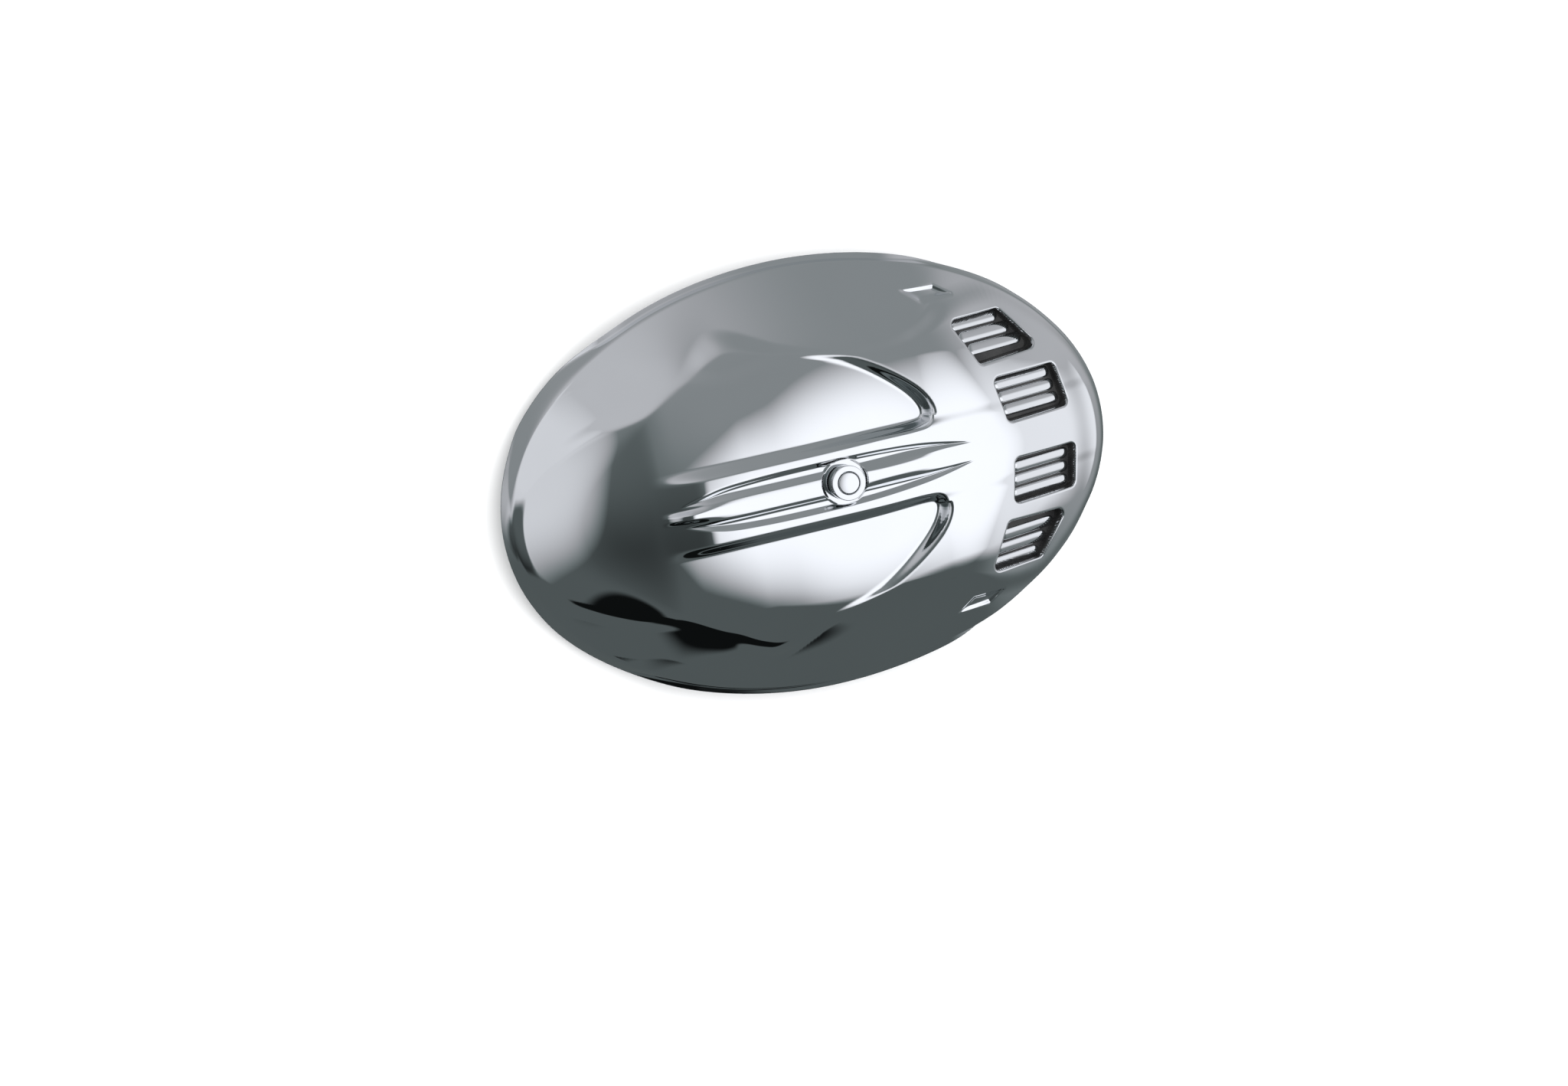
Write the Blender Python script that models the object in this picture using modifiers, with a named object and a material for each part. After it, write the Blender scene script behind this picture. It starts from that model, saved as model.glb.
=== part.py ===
"""Oval motorcycle air cleaner: a louvred, die-cast chrome cover on its bracket, filter and backing plate.

Frame: the air cleaner lies on its back.  +Z points out through the cover, +X runs along the oval towards the
louvres, and z = 0 is the plane of the rearmost screw tips.  All lengths are in metres.
"""
import math

import bmesh
import bpy
import numpy as np

# Cover, heights measured above its rim
HALF_LENGTH = 0.125
HALF_WIDTH = 0.0855
RIM_Z = 0.010
WALL = 0.0025
GAP = 0.0003
SKIRT_HEIGHT = 0.018
SKIRT_INSET = 0.0032
SHOULDER_SLOPE = 1.07
CROWN_HEIGHT = 0.0528
SEAT_HEIGHT = 0.0560
SEAT_RADIUS = 0.0085

# Crown outline, upper half from the left end to the right end
CROWN_EDGE = [
    (-0.1215, 0.0), (-0.1190, 0.0130), (-0.1110, 0.0250), (-0.1000, 0.0320), (-0.0860, 0.0380),
    (-0.0700, 0.0420), (-0.0540, 0.0500), (-0.0400, 0.0575), (-0.0300, 0.0592), (-0.0120, 0.0540),
    (0.0100, 0.0490), (0.0300, 0.0480), (0.0450, 0.0500), (0.0600, 0.0540), (0.0800, 0.0550),
    (0.0930, 0.0455), (0.1030, 0.0355), (0.1105, 0.0260), (0.1160, 0.0135), (0.1178, 0.0),
]
PAD_EDGE = [
    (-0.0680, 0.0180), (-0.0300, 0.0174), (0.0050, 0.0172), (0.0320, 0.0166), (0.0376, 0.0185),
    (0.0335, 0.0262), (0.0210, 0.0365), (0.0070, 0.0440), (-0.0100, 0.0490), (-0.0450, 0.0500),
    (-0.0660, 0.0400),
]
GROOVE_EDGE = [
    (-0.0640, 0.0034), (-0.0520, 0.0082), (-0.0350, 0.0098), (-0.0100, 0.0102), (0.0150, 0.0098),
    (0.0380, 0.0078), (0.0560, 0.0034), (0.0300, 0.0030), (-0.0300, 0.0028),
]
BLIND_POCKET = [(0.0410, 0.0665), (0.0500, 0.0580), (0.0690, 0.0585), (0.0590, 0.0655)]
OUTER_WINDOW = [(0.0660, 0.0310), (0.0965, 0.0322), (0.0825, 0.0510), (0.0562, 0.0510)]
INNER_WINDOW = [(0.0722, 0.0066), (0.1032, 0.0070), (0.1005, 0.0256), (0.0692, 0.0258)]
POCKET_DEPTH = 0.0062
INSERT_GAP = 0.0009
INSERT_THICKNESS = 0.0015
INSERT_SLOT = 0.0008
RIB_RADIUS = 0.0023
RIB_SQUASH = 0.45
RIBS = 3
RIB_PITCH = 0.0053
RIB_START = 0.0036
RIB_END = 0.0022
STUD_RADIUS = 0.0015
STUD_LENGTH = 0.0062
STUD_SPREAD = 0.0080
STUD_HOLE_RADIUS = 0.0018
POCKET_CORNER = 0.0030
POCKET_BACK_GROWTH = 0.0020
POCKET_BACK_CORNER = 0.0040
INSERT_CORNER = 0.0022
NUT_RADIUS = 0.0040
NUT_THICKNESS = 0.0008
SPINE_LEFT = -0.066
SPINE_RIGHT = 0.058

# Stack under the cover, heights above the bench plane
GASKET_REAR = 0.0067
GASKET_FRONT = 0.0077
FLANGE_REAR = 0.0080
PLATE_REAR = 0.0120
PLATE_FRONT = 0.0150
PLATE_INSET = 0.0130
SEAL_BASE = 0.0153
SEAL_TOP = 0.0173
MEDIA_BASE = 0.0176
MEDIA_TOP = 0.0457
CAP_BASE = 0.0460
CAP_TOP = 0.0482
BRACKET_BASE = 0.0486
BRACKET_TOP = 0.0516
BOSS_BOTTOM = 0.0519
PEG_BOTTOM = 0.0495
RING_BOTTOM = 0.0527
RING_TOP = 0.0535
RING_BORE_TOP = 0.0627
WASHER_BOTTOM = 0.0663
WASHER_TOP = 0.0671
STANDOFF_TOP = 0.0270
STANDOFF_HOLE_BOTTOM = 0.0165
BOLT_HEAD_BOTTOM = 0.0165
BOLT_HEAD_TOP = 0.0225
BOLT_WASHER_BOTTOM = 0.0153
BOLT_WASHER_TOP = 0.0162
BELOW_PLATE = 0.004
ABOVE_PLATE = 0.02
ABOVE_COVER = 0.08

# Filter, an oblong with round ends
FILTER_STRAIGHT = 0.0240
FILTER_OUTER = 0.0458
FILTER_INNER = 0.0312
MESH_THICKNESS = 0.0008
MEDIA_INNER = 0.0325
MEDIA_OUTER = 0.0447
CAP_HOLE_RADIUS = 0.0070

# Fasteners
SCREW_RADIUS = 0.0030
SCREW_CLEARANCE = 0.0004
BOSS_RADIUS = 0.0080
RING_BORE_RADIUS = 0.0055
PEG_X = 0.0280
PEG_RADIUS = 0.0025
FILTER_SCREWS = [(-0.0440, 0.0), (0.0440, 0.0090), (0.0440, -0.0090)]
INTAKE_RADIUS = 0.0200
INTAKE_FLANGE_RADIUS = 0.0305
INTAKE_SCREW_CIRCLE = 0.0268
INTAKE_SCREWS = [
    (INTAKE_SCREW_CIRCLE * math.cos(math.radians(a)), INTAKE_SCREW_CIRCLE * math.sin(math.radians(a)))
    for a in (0, 120, 240)
]
INTAKE_HOLE_RADIUS = 0.0028
STANDOFF_RADIUS = 0.0050
STANDOFF_HOLE_RADIUS = 0.0022
FILTER_SCREW_HOLE_RADIUS = 0.0026
BREATHER_X = 0.0920
BREATHER_BOSS_RADIUS = 0.0110
BREATHER_HOLE_RADIUS = 0.0055
BOLT_RADIUS = 0.0050
BOLT_BORE_RADIUS = 0.0022
BOLT_HEAD_RADIUS = 0.0085
BREATHER_SEAL_RADIUS = 0.0095

# Bracket, an oblong with round ends, and its holes
BRACKET_STRAIGHT = 0.0400
BRACKET_RADIUS = 0.0165
BRACKET_CENTRE_HOLE = 0.0045
BRACKET_PEG_HOLE = 0.0047
BRACKET_SCREW_HOLE = 0.0023

# Profiles of the turned pieces, as (radius, height above the bench plane)
SCREW_PROFILE = [
    (0.0044, 0.0719), (0.0056, 0.0719), (0.00675, 0.0706), (0.00675, 0.0674), (SCREW_RADIUS, 0.0674),
    (SCREW_RADIUS, 0.0540), (0.0024, 0.0540), (0.0024, 0.0522), (SCREW_RADIUS, 0.0522), (SCREW_RADIUS, 0.0442),
    (0.0022, 0.0434), (0.0, 0.0434), (0.0, 0.0704), (0.0044, 0.0704),
]
DRESS_CAP_PROFILE = [(0.0, 0.0724), (0.0022, 0.0722), (0.0041, 0.0717), (0.0041, 0.0707), (0.0, 0.0707)]
BRACKET_INSERT_PROFILE = [
    (0.0042, 0.0515), (0.0042, 0.0483), (0.0055, 0.0483), (0.0055, 0.0430), (0.0033, 0.0430), (0.0033, 0.0515),
]
GROMMET_PROFILE = [
    (0.0058, 0.0530), (0.0058, 0.0519), (0.0044, 0.0519), (0.0044, 0.0489), (0.0028, 0.0489), (0.0028, 0.0530),
]
FILTER_SCREW_PROFILE = [
    (0.0, 0.0544), (0.0032, 0.0542), (0.0042, 0.0532), (0.0042, 0.0519), (0.0019, 0.0519), (0.0019, 0.0180),
    (0.0, 0.0180),
]
STACK_PROFILE = [
    (0.0228, 0.0262), (0.0234, 0.0254), (0.0236, 0.0242), (0.0226, 0.0215), (0.0221, 0.0173),
    (INTAKE_FLANGE_RADIUS, 0.0173), (INTAKE_FLANGE_RADIUS, 0.0153), (0.0203, 0.0153), (0.0203, 0.0185),
    (0.0208, 0.0225), (0.0217, 0.0253),
]
INTAKE_SCREW_PROFILE = [
    (0.0, 0.0202), (0.0024, 0.0202), (0.0033, 0.0194), (0.0033, 0.0176), (0.0024, 0.0176), (0.0024, 0.0008),
    (0.0018, 0.0), (0.0, 0.0),
]


# --- scene helpers -------------------------------------------------------------------------------------------

def clear_scene():
    for thing in list(bpy.data.objects):
        bpy.data.objects.remove(thing, do_unlink=True)


def make_collection(name):
    collection = bpy.data.collections.new(name)
    bpy.context.scene.collection.children.link(collection)
    return collection


def make_material(name, colour, metallic, roughness):
    material = bpy.data.materials.new(name)
    material.use_nodes = True
    shader = material.node_tree.nodes["Principled BSDF"]
    shader.inputs["Base Color"].default_value = (*colour, 1.0)
    shader.inputs["Metallic"].default_value = metallic
    shader.inputs["Roughness"].default_value = roughness
    material.diffuse_color = (*colour, 1.0)
    return material


def object_from_bmesh(name, bm, collection):
    mesh = bpy.data.meshes.new(name)
    bmesh.ops.recalc_face_normals(bm, faces=bm.faces)
    bm.to_mesh(mesh)
    bm.free()
    thing = bpy.data.objects.new(name, mesh)
    collection.objects.link(thing)
    return thing


def finish(thing, material, angle=35):
    thing.data.materials.clear()
    thing.data.materials.append(material)
    thing.data.shade_smooth()
    thing.data.set_sharp_from_angle(angle=math.radians(angle))
    return thing


def as_cutter(thing):
    thing.hide_render = True
    thing.display_type = "WIRE"
    return thing


def cut(thing, tool, operation="DIFFERENCE"):
    """Applies one Boolean at once, so that the next one starts from a plain mesh."""
    modifier = thing.modifiers.new(operation.title(), "BOOLEAN")
    modifier.operation = operation
    modifier.object = tool
    bpy.context.view_layer.update()
    evaluated = thing.evaluated_get(bpy.context.evaluated_depsgraph_get())
    result = bpy.data.meshes.new_from_object(evaluated)
    thing.modifiers.remove(modifier)
    thing.data = result
    return thing


# --- plane outlines ------------------------------------------------------------------------------------------

def circle_outline(x, y, radius, count=24):
    angles = [2 * math.pi * i / count for i in range(count)]
    return [(x + radius * math.cos(a), y + radius * math.sin(a)) for a in angles]


def ellipse_outline(half_x, half_y, count=64):
    angles = [2 * math.pi * (i + 0.5) / count for i in range(count)]
    return [(half_x * math.cos(a), half_y * math.sin(a)) for a in angles]


def oblong_outline(straight, radius, count=40):
    """Two half circles of this radius, their centres a straight run either side of x = 0."""
    points = []
    for i in range(count):
        angle = 2 * math.pi * (i + 0.5) / count
        shift = straight if math.cos(angle) > 0 else -straight
        points.append((shift + radius * math.cos(angle), radius * math.sin(angle)))
    return points


def spline_outline(points, steps=6):
    """A closed Catmull-Rom curve through the points."""
    points = np.array(points)
    before = np.roll(points, 1, axis=0)
    after = np.roll(points, -1, axis=0)
    beyond = np.roll(points, -2, axis=0)
    rows = []
    for t in np.arange(steps) / steps:
        curve = 2 * points + (after - before) * t
        curve = curve + (2 * before - 5 * points + 4 * after - beyond) * t ** 2
        curve = curve + (3 * points - before - 3 * after + beyond) * t ** 3
        rows.append(curve / 2)
    return np.stack(rows, axis=1).reshape(-1, 2)


def mirrored(points):
    """Closes an outline's upper half, which starts and ends on y = 0, with its mirror image."""
    return points + [(x, -y) for x, y in reversed(points[1:-1])]


def rounded_outline(points, radius, steps=4):
    """A polygon with its corners rounded by arcs."""
    corners = [np.array(p) for p in points]
    result = []
    for before, corner, after in zip(corners[-1:] + corners[:-1], corners, corners[1:] + corners[:1]):
        inward = (before - corner) / np.linalg.norm(before - corner)
        outward = (after - corner) / np.linalg.norm(after - corner)
        half = 0.5 * math.acos(float(np.clip(inward @ outward, -1, 1)))
        middle = corner + (inward + outward) / np.linalg.norm(inward + outward) * radius / math.sin(half)
        start = corner + inward * radius / math.tan(half) - middle
        end = corner + outward * radius / math.tan(half) - middle
        for t in np.linspace(0, 1, steps + 1):
            spoke = start * (1 - t) + end * t
            result.append(tuple(middle + spoke / np.linalg.norm(spoke) * radius))
    return result


def offset_outline(points, distances):
    """Moves each side of a convex, anticlockwise polygon outwards by its distance."""
    corners = [np.array(p) for p in points]
    lines = []
    for a, b, distance in zip(corners, corners[1:] + corners[:1], distances):
        side = (b - a) / np.linalg.norm(b - a)
        normal = np.array([side[1], -side[0]])
        lines.append((normal, normal @ a + distance))
    result = []
    for (n1, d1), (n2, d2) in zip(lines[-1:] + lines[:-1], lines):
        result.append(tuple(np.linalg.solve(np.array([n1, n2]), np.array([d1, d2]))))
    return result


# --- the cover's surface -------------------------------------------------------------------------------------

def signed_distance(x, y, outline):
    """Distance to a closed outline, negative inside it."""
    distance = np.full(x.shape, np.inf)
    inside = np.zeros(x.shape, dtype=bool)
    for (ax, ay), (bx, by) in zip(outline, np.roll(outline, -1, axis=0)):
        ex = bx - ax
        ey = by - ay
        along = np.clip(((x - ax) * ex + (y - ay) * ey) / (ex * ex + ey * ey), 0, 1)
        distance = np.minimum(distance, np.hypot(x - ax - along * ex, y - ay - along * ey))
        if ey != 0:
            crosses = (ay > y) != (by > y)
            inside ^= crosses & (x < ax + (y - ay) * ex / ey)
    return np.where(inside, -distance, distance)


def ease(t):
    t = np.clip(t, 0, 1)
    return t * t * t * (t * (6 * t - 15) + 10)


def soft_min(a, b, radius):
    blend = np.maximum(radius - np.abs(a - b), 0) / radius
    return np.minimum(a, b) - blend * blend * radius / 4


def soft_max(a, b, radius):
    return -soft_min(-a, -b, radius)


def inward_distance(x, y):
    """Distance from the rim's ellipse, to first order."""
    rho = np.maximum(np.hypot(x / HALF_LENGTH, y / HALF_WIDTH), 1e-6)
    gradient = np.hypot(x / HALF_LENGTH ** 2, y / HALF_WIDTH ** 2) / rho
    return (1 - rho) / gradient


def skirt_height(x):
    """Height of the skirt, which is taller beside the windows."""
    return SKIRT_HEIGHT + 0.0050 * ease((x - 0.025) / 0.045) * (1 - ease((x - 0.095) / 0.028))


def crown_height(x, y):
    """The smooth crown before anything is raised from it or sunk into it."""
    back = np.clip(-0.036 - x, 0, None)
    head = np.clip(-0.069 - x, 0, None)
    right = np.clip((x - 0.040) / 0.062, 0, None)
    along = CROWN_HEIGHT - 1.65 * back ** 2 - 0.90 * (np.hypot(head, 0.040) - 0.040) - 0.0143 * right ** 1.82
    fall = 2.6 + 2.4 * ease((x - 0.040) / 0.050) + 0.8 * ease(-x / 0.080) + 2.6 * ease((-0.060 - x) / 0.040)
    return along - fall * y ** 2


def pad_depth(x):
    """Depth of the scooped pads below the crown, which grows towards their tips."""
    return 0.0058 * np.clip((x + 0.023) / 0.061, 0, 1.1) ** 2.2


def spear_rise(x):
    """Height of the spear's side rails above the crown."""
    return 0.0040 * ease((x + 0.0755) / 0.0235) * (1 - 0.95 * ease((x + 0.010) / 0.066))


def ridge_height(x):
    """Height of the spear's middle ridge, which stays level where the crown falls away behind it."""
    return CROWN_HEIGHT + 0.0046 * (1 - ease((x - 0.004) / 0.056))


def cover_height(x, y):
    """Height of the cover's outer face above its rim."""
    y = np.abs(y)
    inward = inward_distance(x, y)
    crown = crown_height(x, y)
    outside = signed_distance(x, y, spline_outline(mirrored(CROWN_EDGE)))
    beyond = soft_max(outside, 0, 0.003)
    facet = ease((-0.030 - x) / 0.030)
    top = skirt_height(x)
    shoulder = top + (SHOULDER_SLOPE + 0.16 * facet) * (inward - SKIRT_INSET)
    skirt = inward * top / SKIRT_INSET
    side = soft_min(skirt, shoulder, 0.003)
    blend = 0.010 - 0.0075 * facet + 0.0060 * ease((-0.042 - x) / 0.048)
    body = soft_min(side, crown - 0.40 * facet * beyond, blend)
    fillet = 0.0015 + 0.0050 * ease((x - 0.040) / 0.030)
    z = soft_max(body, crown - 1.5 * beyond, fillet)

    pad = signed_distance(x, y, spline_outline(PAD_EDGE))
    width = np.where(y < 0.0175, 0.0046, 0.0060)
    sink = pad_depth(x) * (1 - ease(pad / width))
    z = z - np.where(outside < 0, sink * ease(-outside / 0.004), 0)

    rails = 1 - ease((y - 0.0118) / 0.0055)
    z = z + spear_rise(x) * rails
    ridge = np.maximum(ridge_height(x) - z, 0) * ease((x + 0.0730) / 0.0140) * (1 - ease((x - 0.044) / 0.016))
    nose = 1 + 0.9 * ease((-0.044 - x) / 0.026)
    z = z + ridge * (1 - ease((y * nose - 0.0008) / 0.0046))
    groove = signed_distance(x, y, spline_outline(GROOVE_EDGE))
    z = z - 0.0014 * ease(-groove / 0.0033)

    blind = signed_distance(x, y, np.array(rounded_outline(BLIND_POCKET, 0.0015)))
    z = z - 0.0022 * ease(-blind / 0.0035)

    seat = 1 - ease((np.hypot(x, y) - SEAT_RADIUS) / 0.0009)
    return z * (1 - seat) + SEAT_HEIGHT * seat


def cavity_height(x, y):
    """Height of the cover's inner face above its rim."""
    y = np.abs(y)
    inward = inward_distance(x, y)
    crown = crown_height(x, y)
    top = skirt_height(x)
    shoulder = top + SHOULDER_SLOPE * (inward - SKIRT_INSET) - 1.5 * WALL
    skirt = (inward - WALL) * top / SKIRT_INSET
    body = soft_min(soft_min(skirt, shoulder, 0.003), crown - 1.1 * WALL, 0.010)
    pad = signed_distance(x, y, spline_outline(PAD_EDGE))
    sink = pad_depth(x) * (1 - ease(pad / 0.0060))
    return body - sink + 0.7 * spear_rise(x) * (1 - ease((y - 0.0080) / 0.0060))


def dome_solid(name, height, half_x, half_y, rings, around, base, collection):
    """A closed dome.  Its rings run from the rim's ellipse to the straight spine of the spear."""
    middle = (SPINE_LEFT + SPINE_RIGHT) / 2
    half_spine = (SPINE_RIGHT - SPINE_LEFT) / 2
    bm = bmesh.new()
    angles = np.arange(around) * 2 * math.pi / around
    loops = []
    for s in [None] + list(rings):
        scale = 1.0 if s is None else s
        x = middle * (1 - scale) + (half_spine + (half_x - half_spine) * scale) * np.cos(angles)
        y = half_y * scale * np.sin(angles)
        z = np.full(around, base) if s is None else height(x, y)
        loops.append([bm.verts.new((x[i], y[i], z[i] + RIM_Z)) for i in range(around)])
    for lower, upper in zip(loops, loops[1:]):
        for i in range(around):
            j = (i + 1) % around
            bm.faces.new((lower[i], lower[j], upper[j], upper[i]))
    bm.faces.new(list(reversed(loops[0])))
    bmesh.ops.remove_doubles(bm, verts=bm.verts, dist=1e-6)
    return object_from_bmesh(name, bm, collection)


# --- solids from outlines and profiles -----------------------------------------------------------------------

def prism(name, loops, bottom, top, collection, tilt=None):
    """A flat outline, the first loop, with the other loops as holes.  A tilt gives each point extra height."""
    curve = bpy.data.curves.new(name, "CURVE")
    curve.dimensions = "2D"
    curve.fill_mode = "BOTH"
    curve.extrude = (top - bottom) / 2
    for loop in loops:
        spline = curve.splines.new("POLY")
        spline.points.add(len(loop) - 1)
        for point, (x, y) in zip(spline.points, loop):
            point.co = (x, y, 0, 1)
        spline.use_cyclic_u = True
    flat = bpy.data.objects.new(name + "_outline", curve)
    collection.objects.link(flat)
    bpy.context.view_layer.update()
    mesh = bpy.data.meshes.new_from_object(flat.evaluated_get(bpy.context.evaluated_depsgraph_get()))
    bpy.data.objects.remove(flat, do_unlink=True)
    bm = bmesh.new()
    bm.from_mesh(mesh)
    bpy.data.meshes.remove(mesh)
    bmesh.ops.remove_doubles(bm, verts=bm.verts, dist=1e-7)
    for vert in bm.verts:
        vert.co.z += (top + bottom) / 2
        if tilt is not None:
            vert.co.z += tilt(vert.co.x, vert.co.y)
    return object_from_bmesh(name, bm, collection)


def turned(name, profile, place, steps, collection):
    """Turns a profile of (radius, z) points, outer side first from top to bottom, about an upright axis.

    A profile that starts and ends on the axis is open there; any other profile is a closed ring.
    """
    mesh = bpy.data.meshes.new(name)
    last = len(profile) - 1
    edges = [(i, i + 1) for i in range(last)]
    if profile[0][0] > 0:
        edges.append((last, 0))
    mesh.from_pydata([(radius, 0.0, z) for radius, z in profile], edges, [])
    thing = bpy.data.objects.new(name, mesh)
    collection.objects.link(thing)
    thing.location = (place[0], place[1], 0.0)
    screw = thing.modifiers.new("Turn", "SCREW")
    screw.steps = steps
    screw.render_steps = steps
    screw.use_merge_vertices = True
    screw.merge_threshold = 1e-6
    screw.use_smooth_shade = False
    bpy.context.view_layer.update()
    evaluated = thing.evaluated_get(bpy.context.evaluated_depsgraph_get())
    thing.data = bpy.data.meshes.new_from_object(evaluated)
    thing.modifiers.remove(screw)
    return thing


def rod(name, x, y, radius, bottom, top, collection, steps=20):
    """A plain round bar along Z, used to add bosses and to cut holes."""
    bm = bmesh.new()
    bmesh.ops.create_cone(bm, cap_ends=True, segments=steps, radius1=radius, radius2=radius, depth=top - bottom)
    bmesh.ops.translate(bm, verts=bm.verts, vec=(x, y, (top + bottom) / 2))
    return object_from_bmesh(name, bm, collection)


# --- windows -------------------------------------------------------------------------------------------------

def window_outline(corners, side, growth, radius, slot=0.0):
    """A window's rounded outline, grown on every side; the slot shortens it at its right end."""
    grown = offset_outline(corners, (growth, growth - slot, growth, growth))
    outline = rounded_outline(grown, radius)
    if side > 0:
        return outline
    return [(x, -y) for x, y in reversed(outline)]


def window_plane(corners, side):
    """The sloping plane that touches the crown at a window's middle, as a height function."""
    middle = np.mean(np.array(corners), axis=0)
    step = 0.001
    slope_x = (crown_height(middle[0] + step, middle[1]) - crown_height(middle[0] - step, middle[1])) / (2 * step)
    slope_y = (crown_height(middle[0], middle[1] + step) - crown_height(middle[0], middle[1] - step)) / (2 * step)
    height = RIM_Z + crown_height(middle[0], middle[1])

    def plane(x, y):
        return height + slope_x * (x - middle[0]) + slope_y * (side * y - middle[1])

    return plane


def stud_places(corners, side):
    middle = np.mean(np.array(corners), axis=0)
    return [(middle[0] + shift, side * middle[1]) for shift in (-STUD_SPREAD, STUD_SPREAD)]


WINDOWS = [(OUTER_WINDOW, 1, 0.0013), (INNER_WINDOW, 1, 0.0004), (INNER_WINDOW, -1, 0.0004), (OUTER_WINDOW, -1, 0.0013)]


def side_at(a, b, y):
    """Where the side from a to b crosses this y."""
    return a[0] + (b[0] - a[0]) * (y - a[1]) / (b[1] - a[1])


def make_rib(name, left, right, y, base, plane, collection):
    """A rounded bar along X with a ball at its left end, half sunk in the insert's plate."""
    bm = bmesh.new()
    bmesh.ops.create_cone(bm, cap_ends=True, segments=12, radius1=RIB_RADIUS, radius2=RIB_RADIUS, depth=right - left)
    for vert in bm.verts:
        across, up, along = vert.co
        vert.co = (along + (left + right) / 2, across + y, up * RIB_SQUASH)
    ball = bmesh.new()
    bmesh.ops.create_uvsphere(ball, u_segments=12, v_segments=6, radius=RIB_RADIUS * 0.99)
    for vert in ball.verts:
        vert.co = (vert.co.x + left, vert.co.y + y, vert.co.z * RIB_SQUASH)
    pieces = [object_from_bmesh(name, bm, collection), object_from_bmesh(name + "_ball", ball, collection)]
    for piece in pieces:
        for vert in piece.data.vertices:
            vert.co.z += base + plane(vert.co.x, vert.co.y)
        as_cutter(piece)
    return pieces


def make_louvre_insert(index, corners, side, shift, material, parts, cutters):
    plane = window_plane(corners, side)
    base = GAP - POCKET_DEPTH
    top = base + INSERT_THICKNESS
    outline = window_outline(corners, side, -INSERT_GAP, INSERT_CORNER, INSERT_SLOT)
    insert = prism(f"louvre_insert_{index}", [outline], base, top, parts, plane)
    middle_y = float(np.mean([corner[1] for corner in corners]))
    for i in range(RIBS):
        y = middle_y + shift + (i - 1) * RIB_PITCH
        left = side_at(corners[3], corners[0], y) + RIB_START
        right = side_at(corners[1], corners[2], y) - RIB_END
        for piece in make_rib(f"rib_{index}_{i}", left, right, side * y, top, plane, cutters):
            cut(insert, piece, "UNION")
    for i, (x, y) in enumerate(stud_places(corners, side)):
        height = plane(x, y)
        stud = rod(f"stud_{index}_{i}", x, y, STUD_RADIUS, height + base - STUD_LENGTH, height + base + 0.001,
                   cutters, 12)
        cut(insert, as_cutter(stud), "UNION")
    return finish(insert, material)


def make_push_nuts(first, corners, side, material, parts):
    """A spring-steel nut on each of an insert's studs, flat against the back of its pocket."""
    top = -POCKET_DEPTH - 1.1 * WALL - GAP
    plane = window_plane(corners, side)
    nuts = []
    for index, (x, y) in enumerate(stud_places(corners, side), start=first):
        loops = [circle_outline(x, y, NUT_RADIUS, 16), circle_outline(x, y, STUD_RADIUS + GAP, 16)]
        nut = prism(f"louvre_push_nut_{index}", loops, top - NUT_THICKNESS, top, parts, plane)
        nuts.append(finish(nut, material))
    return nuts


# --- the cover and its screw ---------------------------------------------------------------------------------

def make_cavity(cutters):
    """The hollow of the cover, less the backs of its pockets, its screw boss and its two pegs."""
    rings = (1.0, 0.980, 0.966, 0.94, 0.86, 0.76, 0.64, 0.50, 0.36, 0.22, 0.12, 0.0)
    cavity = dome_solid("cavity", cavity_height, HALF_LENGTH - WALL, HALF_WIDTH - WALL, rings, 48, -0.004, cutters)
    for index, (corners, side, _) in enumerate(WINDOWS):
        outline = window_outline(corners, side, POCKET_BACK_GROWTH, POCKET_BACK_CORNER)
        plane = window_plane(corners, side)
        bottom = -POCKET_DEPTH - 1.1 * WALL
        can = prism(f"pocket_back_{index}", [outline], bottom, 0.015, cutters, plane)
        cut(cavity, as_cutter(can))
    cut(cavity, as_cutter(rod("boss", 0, 0, BOSS_RADIUS, BOSS_BOTTOM, ABOVE_COVER, cutters)))
    for x in (-PEG_X, PEG_X):
        cut(cavity, as_cutter(rod("peg", x, 0, PEG_RADIUS, PEG_BOTTOM, ABOVE_COVER, cutters, 16)))
    return as_cutter(cavity)


def make_cover(material, parts, cutters):
    rings = (1.0, 0.978, 0.964, 0.945, 0.91, 0.86, 0.80, 0.74, 0.68, 0.62, 0.56, 0.48, 0.40, 0.32, 0.26, 0.21,
             0.17, 0.14, 0.11, 0.08, 0.05, 0.02, 0.0)
    cover = dome_solid("cover_shell", cover_height, HALF_LENGTH, HALF_WIDTH, rings, 64, 0.0, parts)
    cut(cover, make_cavity(cutters))
    for index, (corners, side, _) in enumerate(WINDOWS):
        plane = window_plane(corners, side)
        outline = window_outline(corners, side, 0.0, POCKET_CORNER)
        cut(cover, as_cutter(prism(f"pocket_{index}", [outline], -POCKET_DEPTH, 0.012, cutters, plane)))
        for x, y in stud_places(corners, side):
            height = plane(x, y)
            hole = rod(f"stud_hole_{index}", x, y, STUD_HOLE_RADIUS, height - 0.015, height, cutters, 12)
            cut(cover, as_cutter(hole))
    seat = RIM_Z + SEAT_HEIGHT
    cut(cover, as_cutter(rod("seat", 0, 0, SEAT_RADIUS, seat, seat + 0.01, cutters, 32)))
    cut(cover, as_cutter(rod("screw_hole", 0, 0, SCREW_RADIUS + SCREW_CLEARANCE, 0.05, seat + 0.001, cutters)))
    cut(cover, as_cutter(rod("ring_bore", 0, 0, RING_BORE_RADIUS, 0.05, RING_BORE_TOP, cutters)))
    return finish(cover, material)


def make_cover_screw(material, parts):
    return finish(turned("cover_screw", SCREW_PROFILE, (0, 0), 24, parts), material)


def make_dress_cap(material, parts):
    return finish(turned("screw_dress_cap", DRESS_CAP_PROFILE, (0, 0), 24, parts), material)


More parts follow.
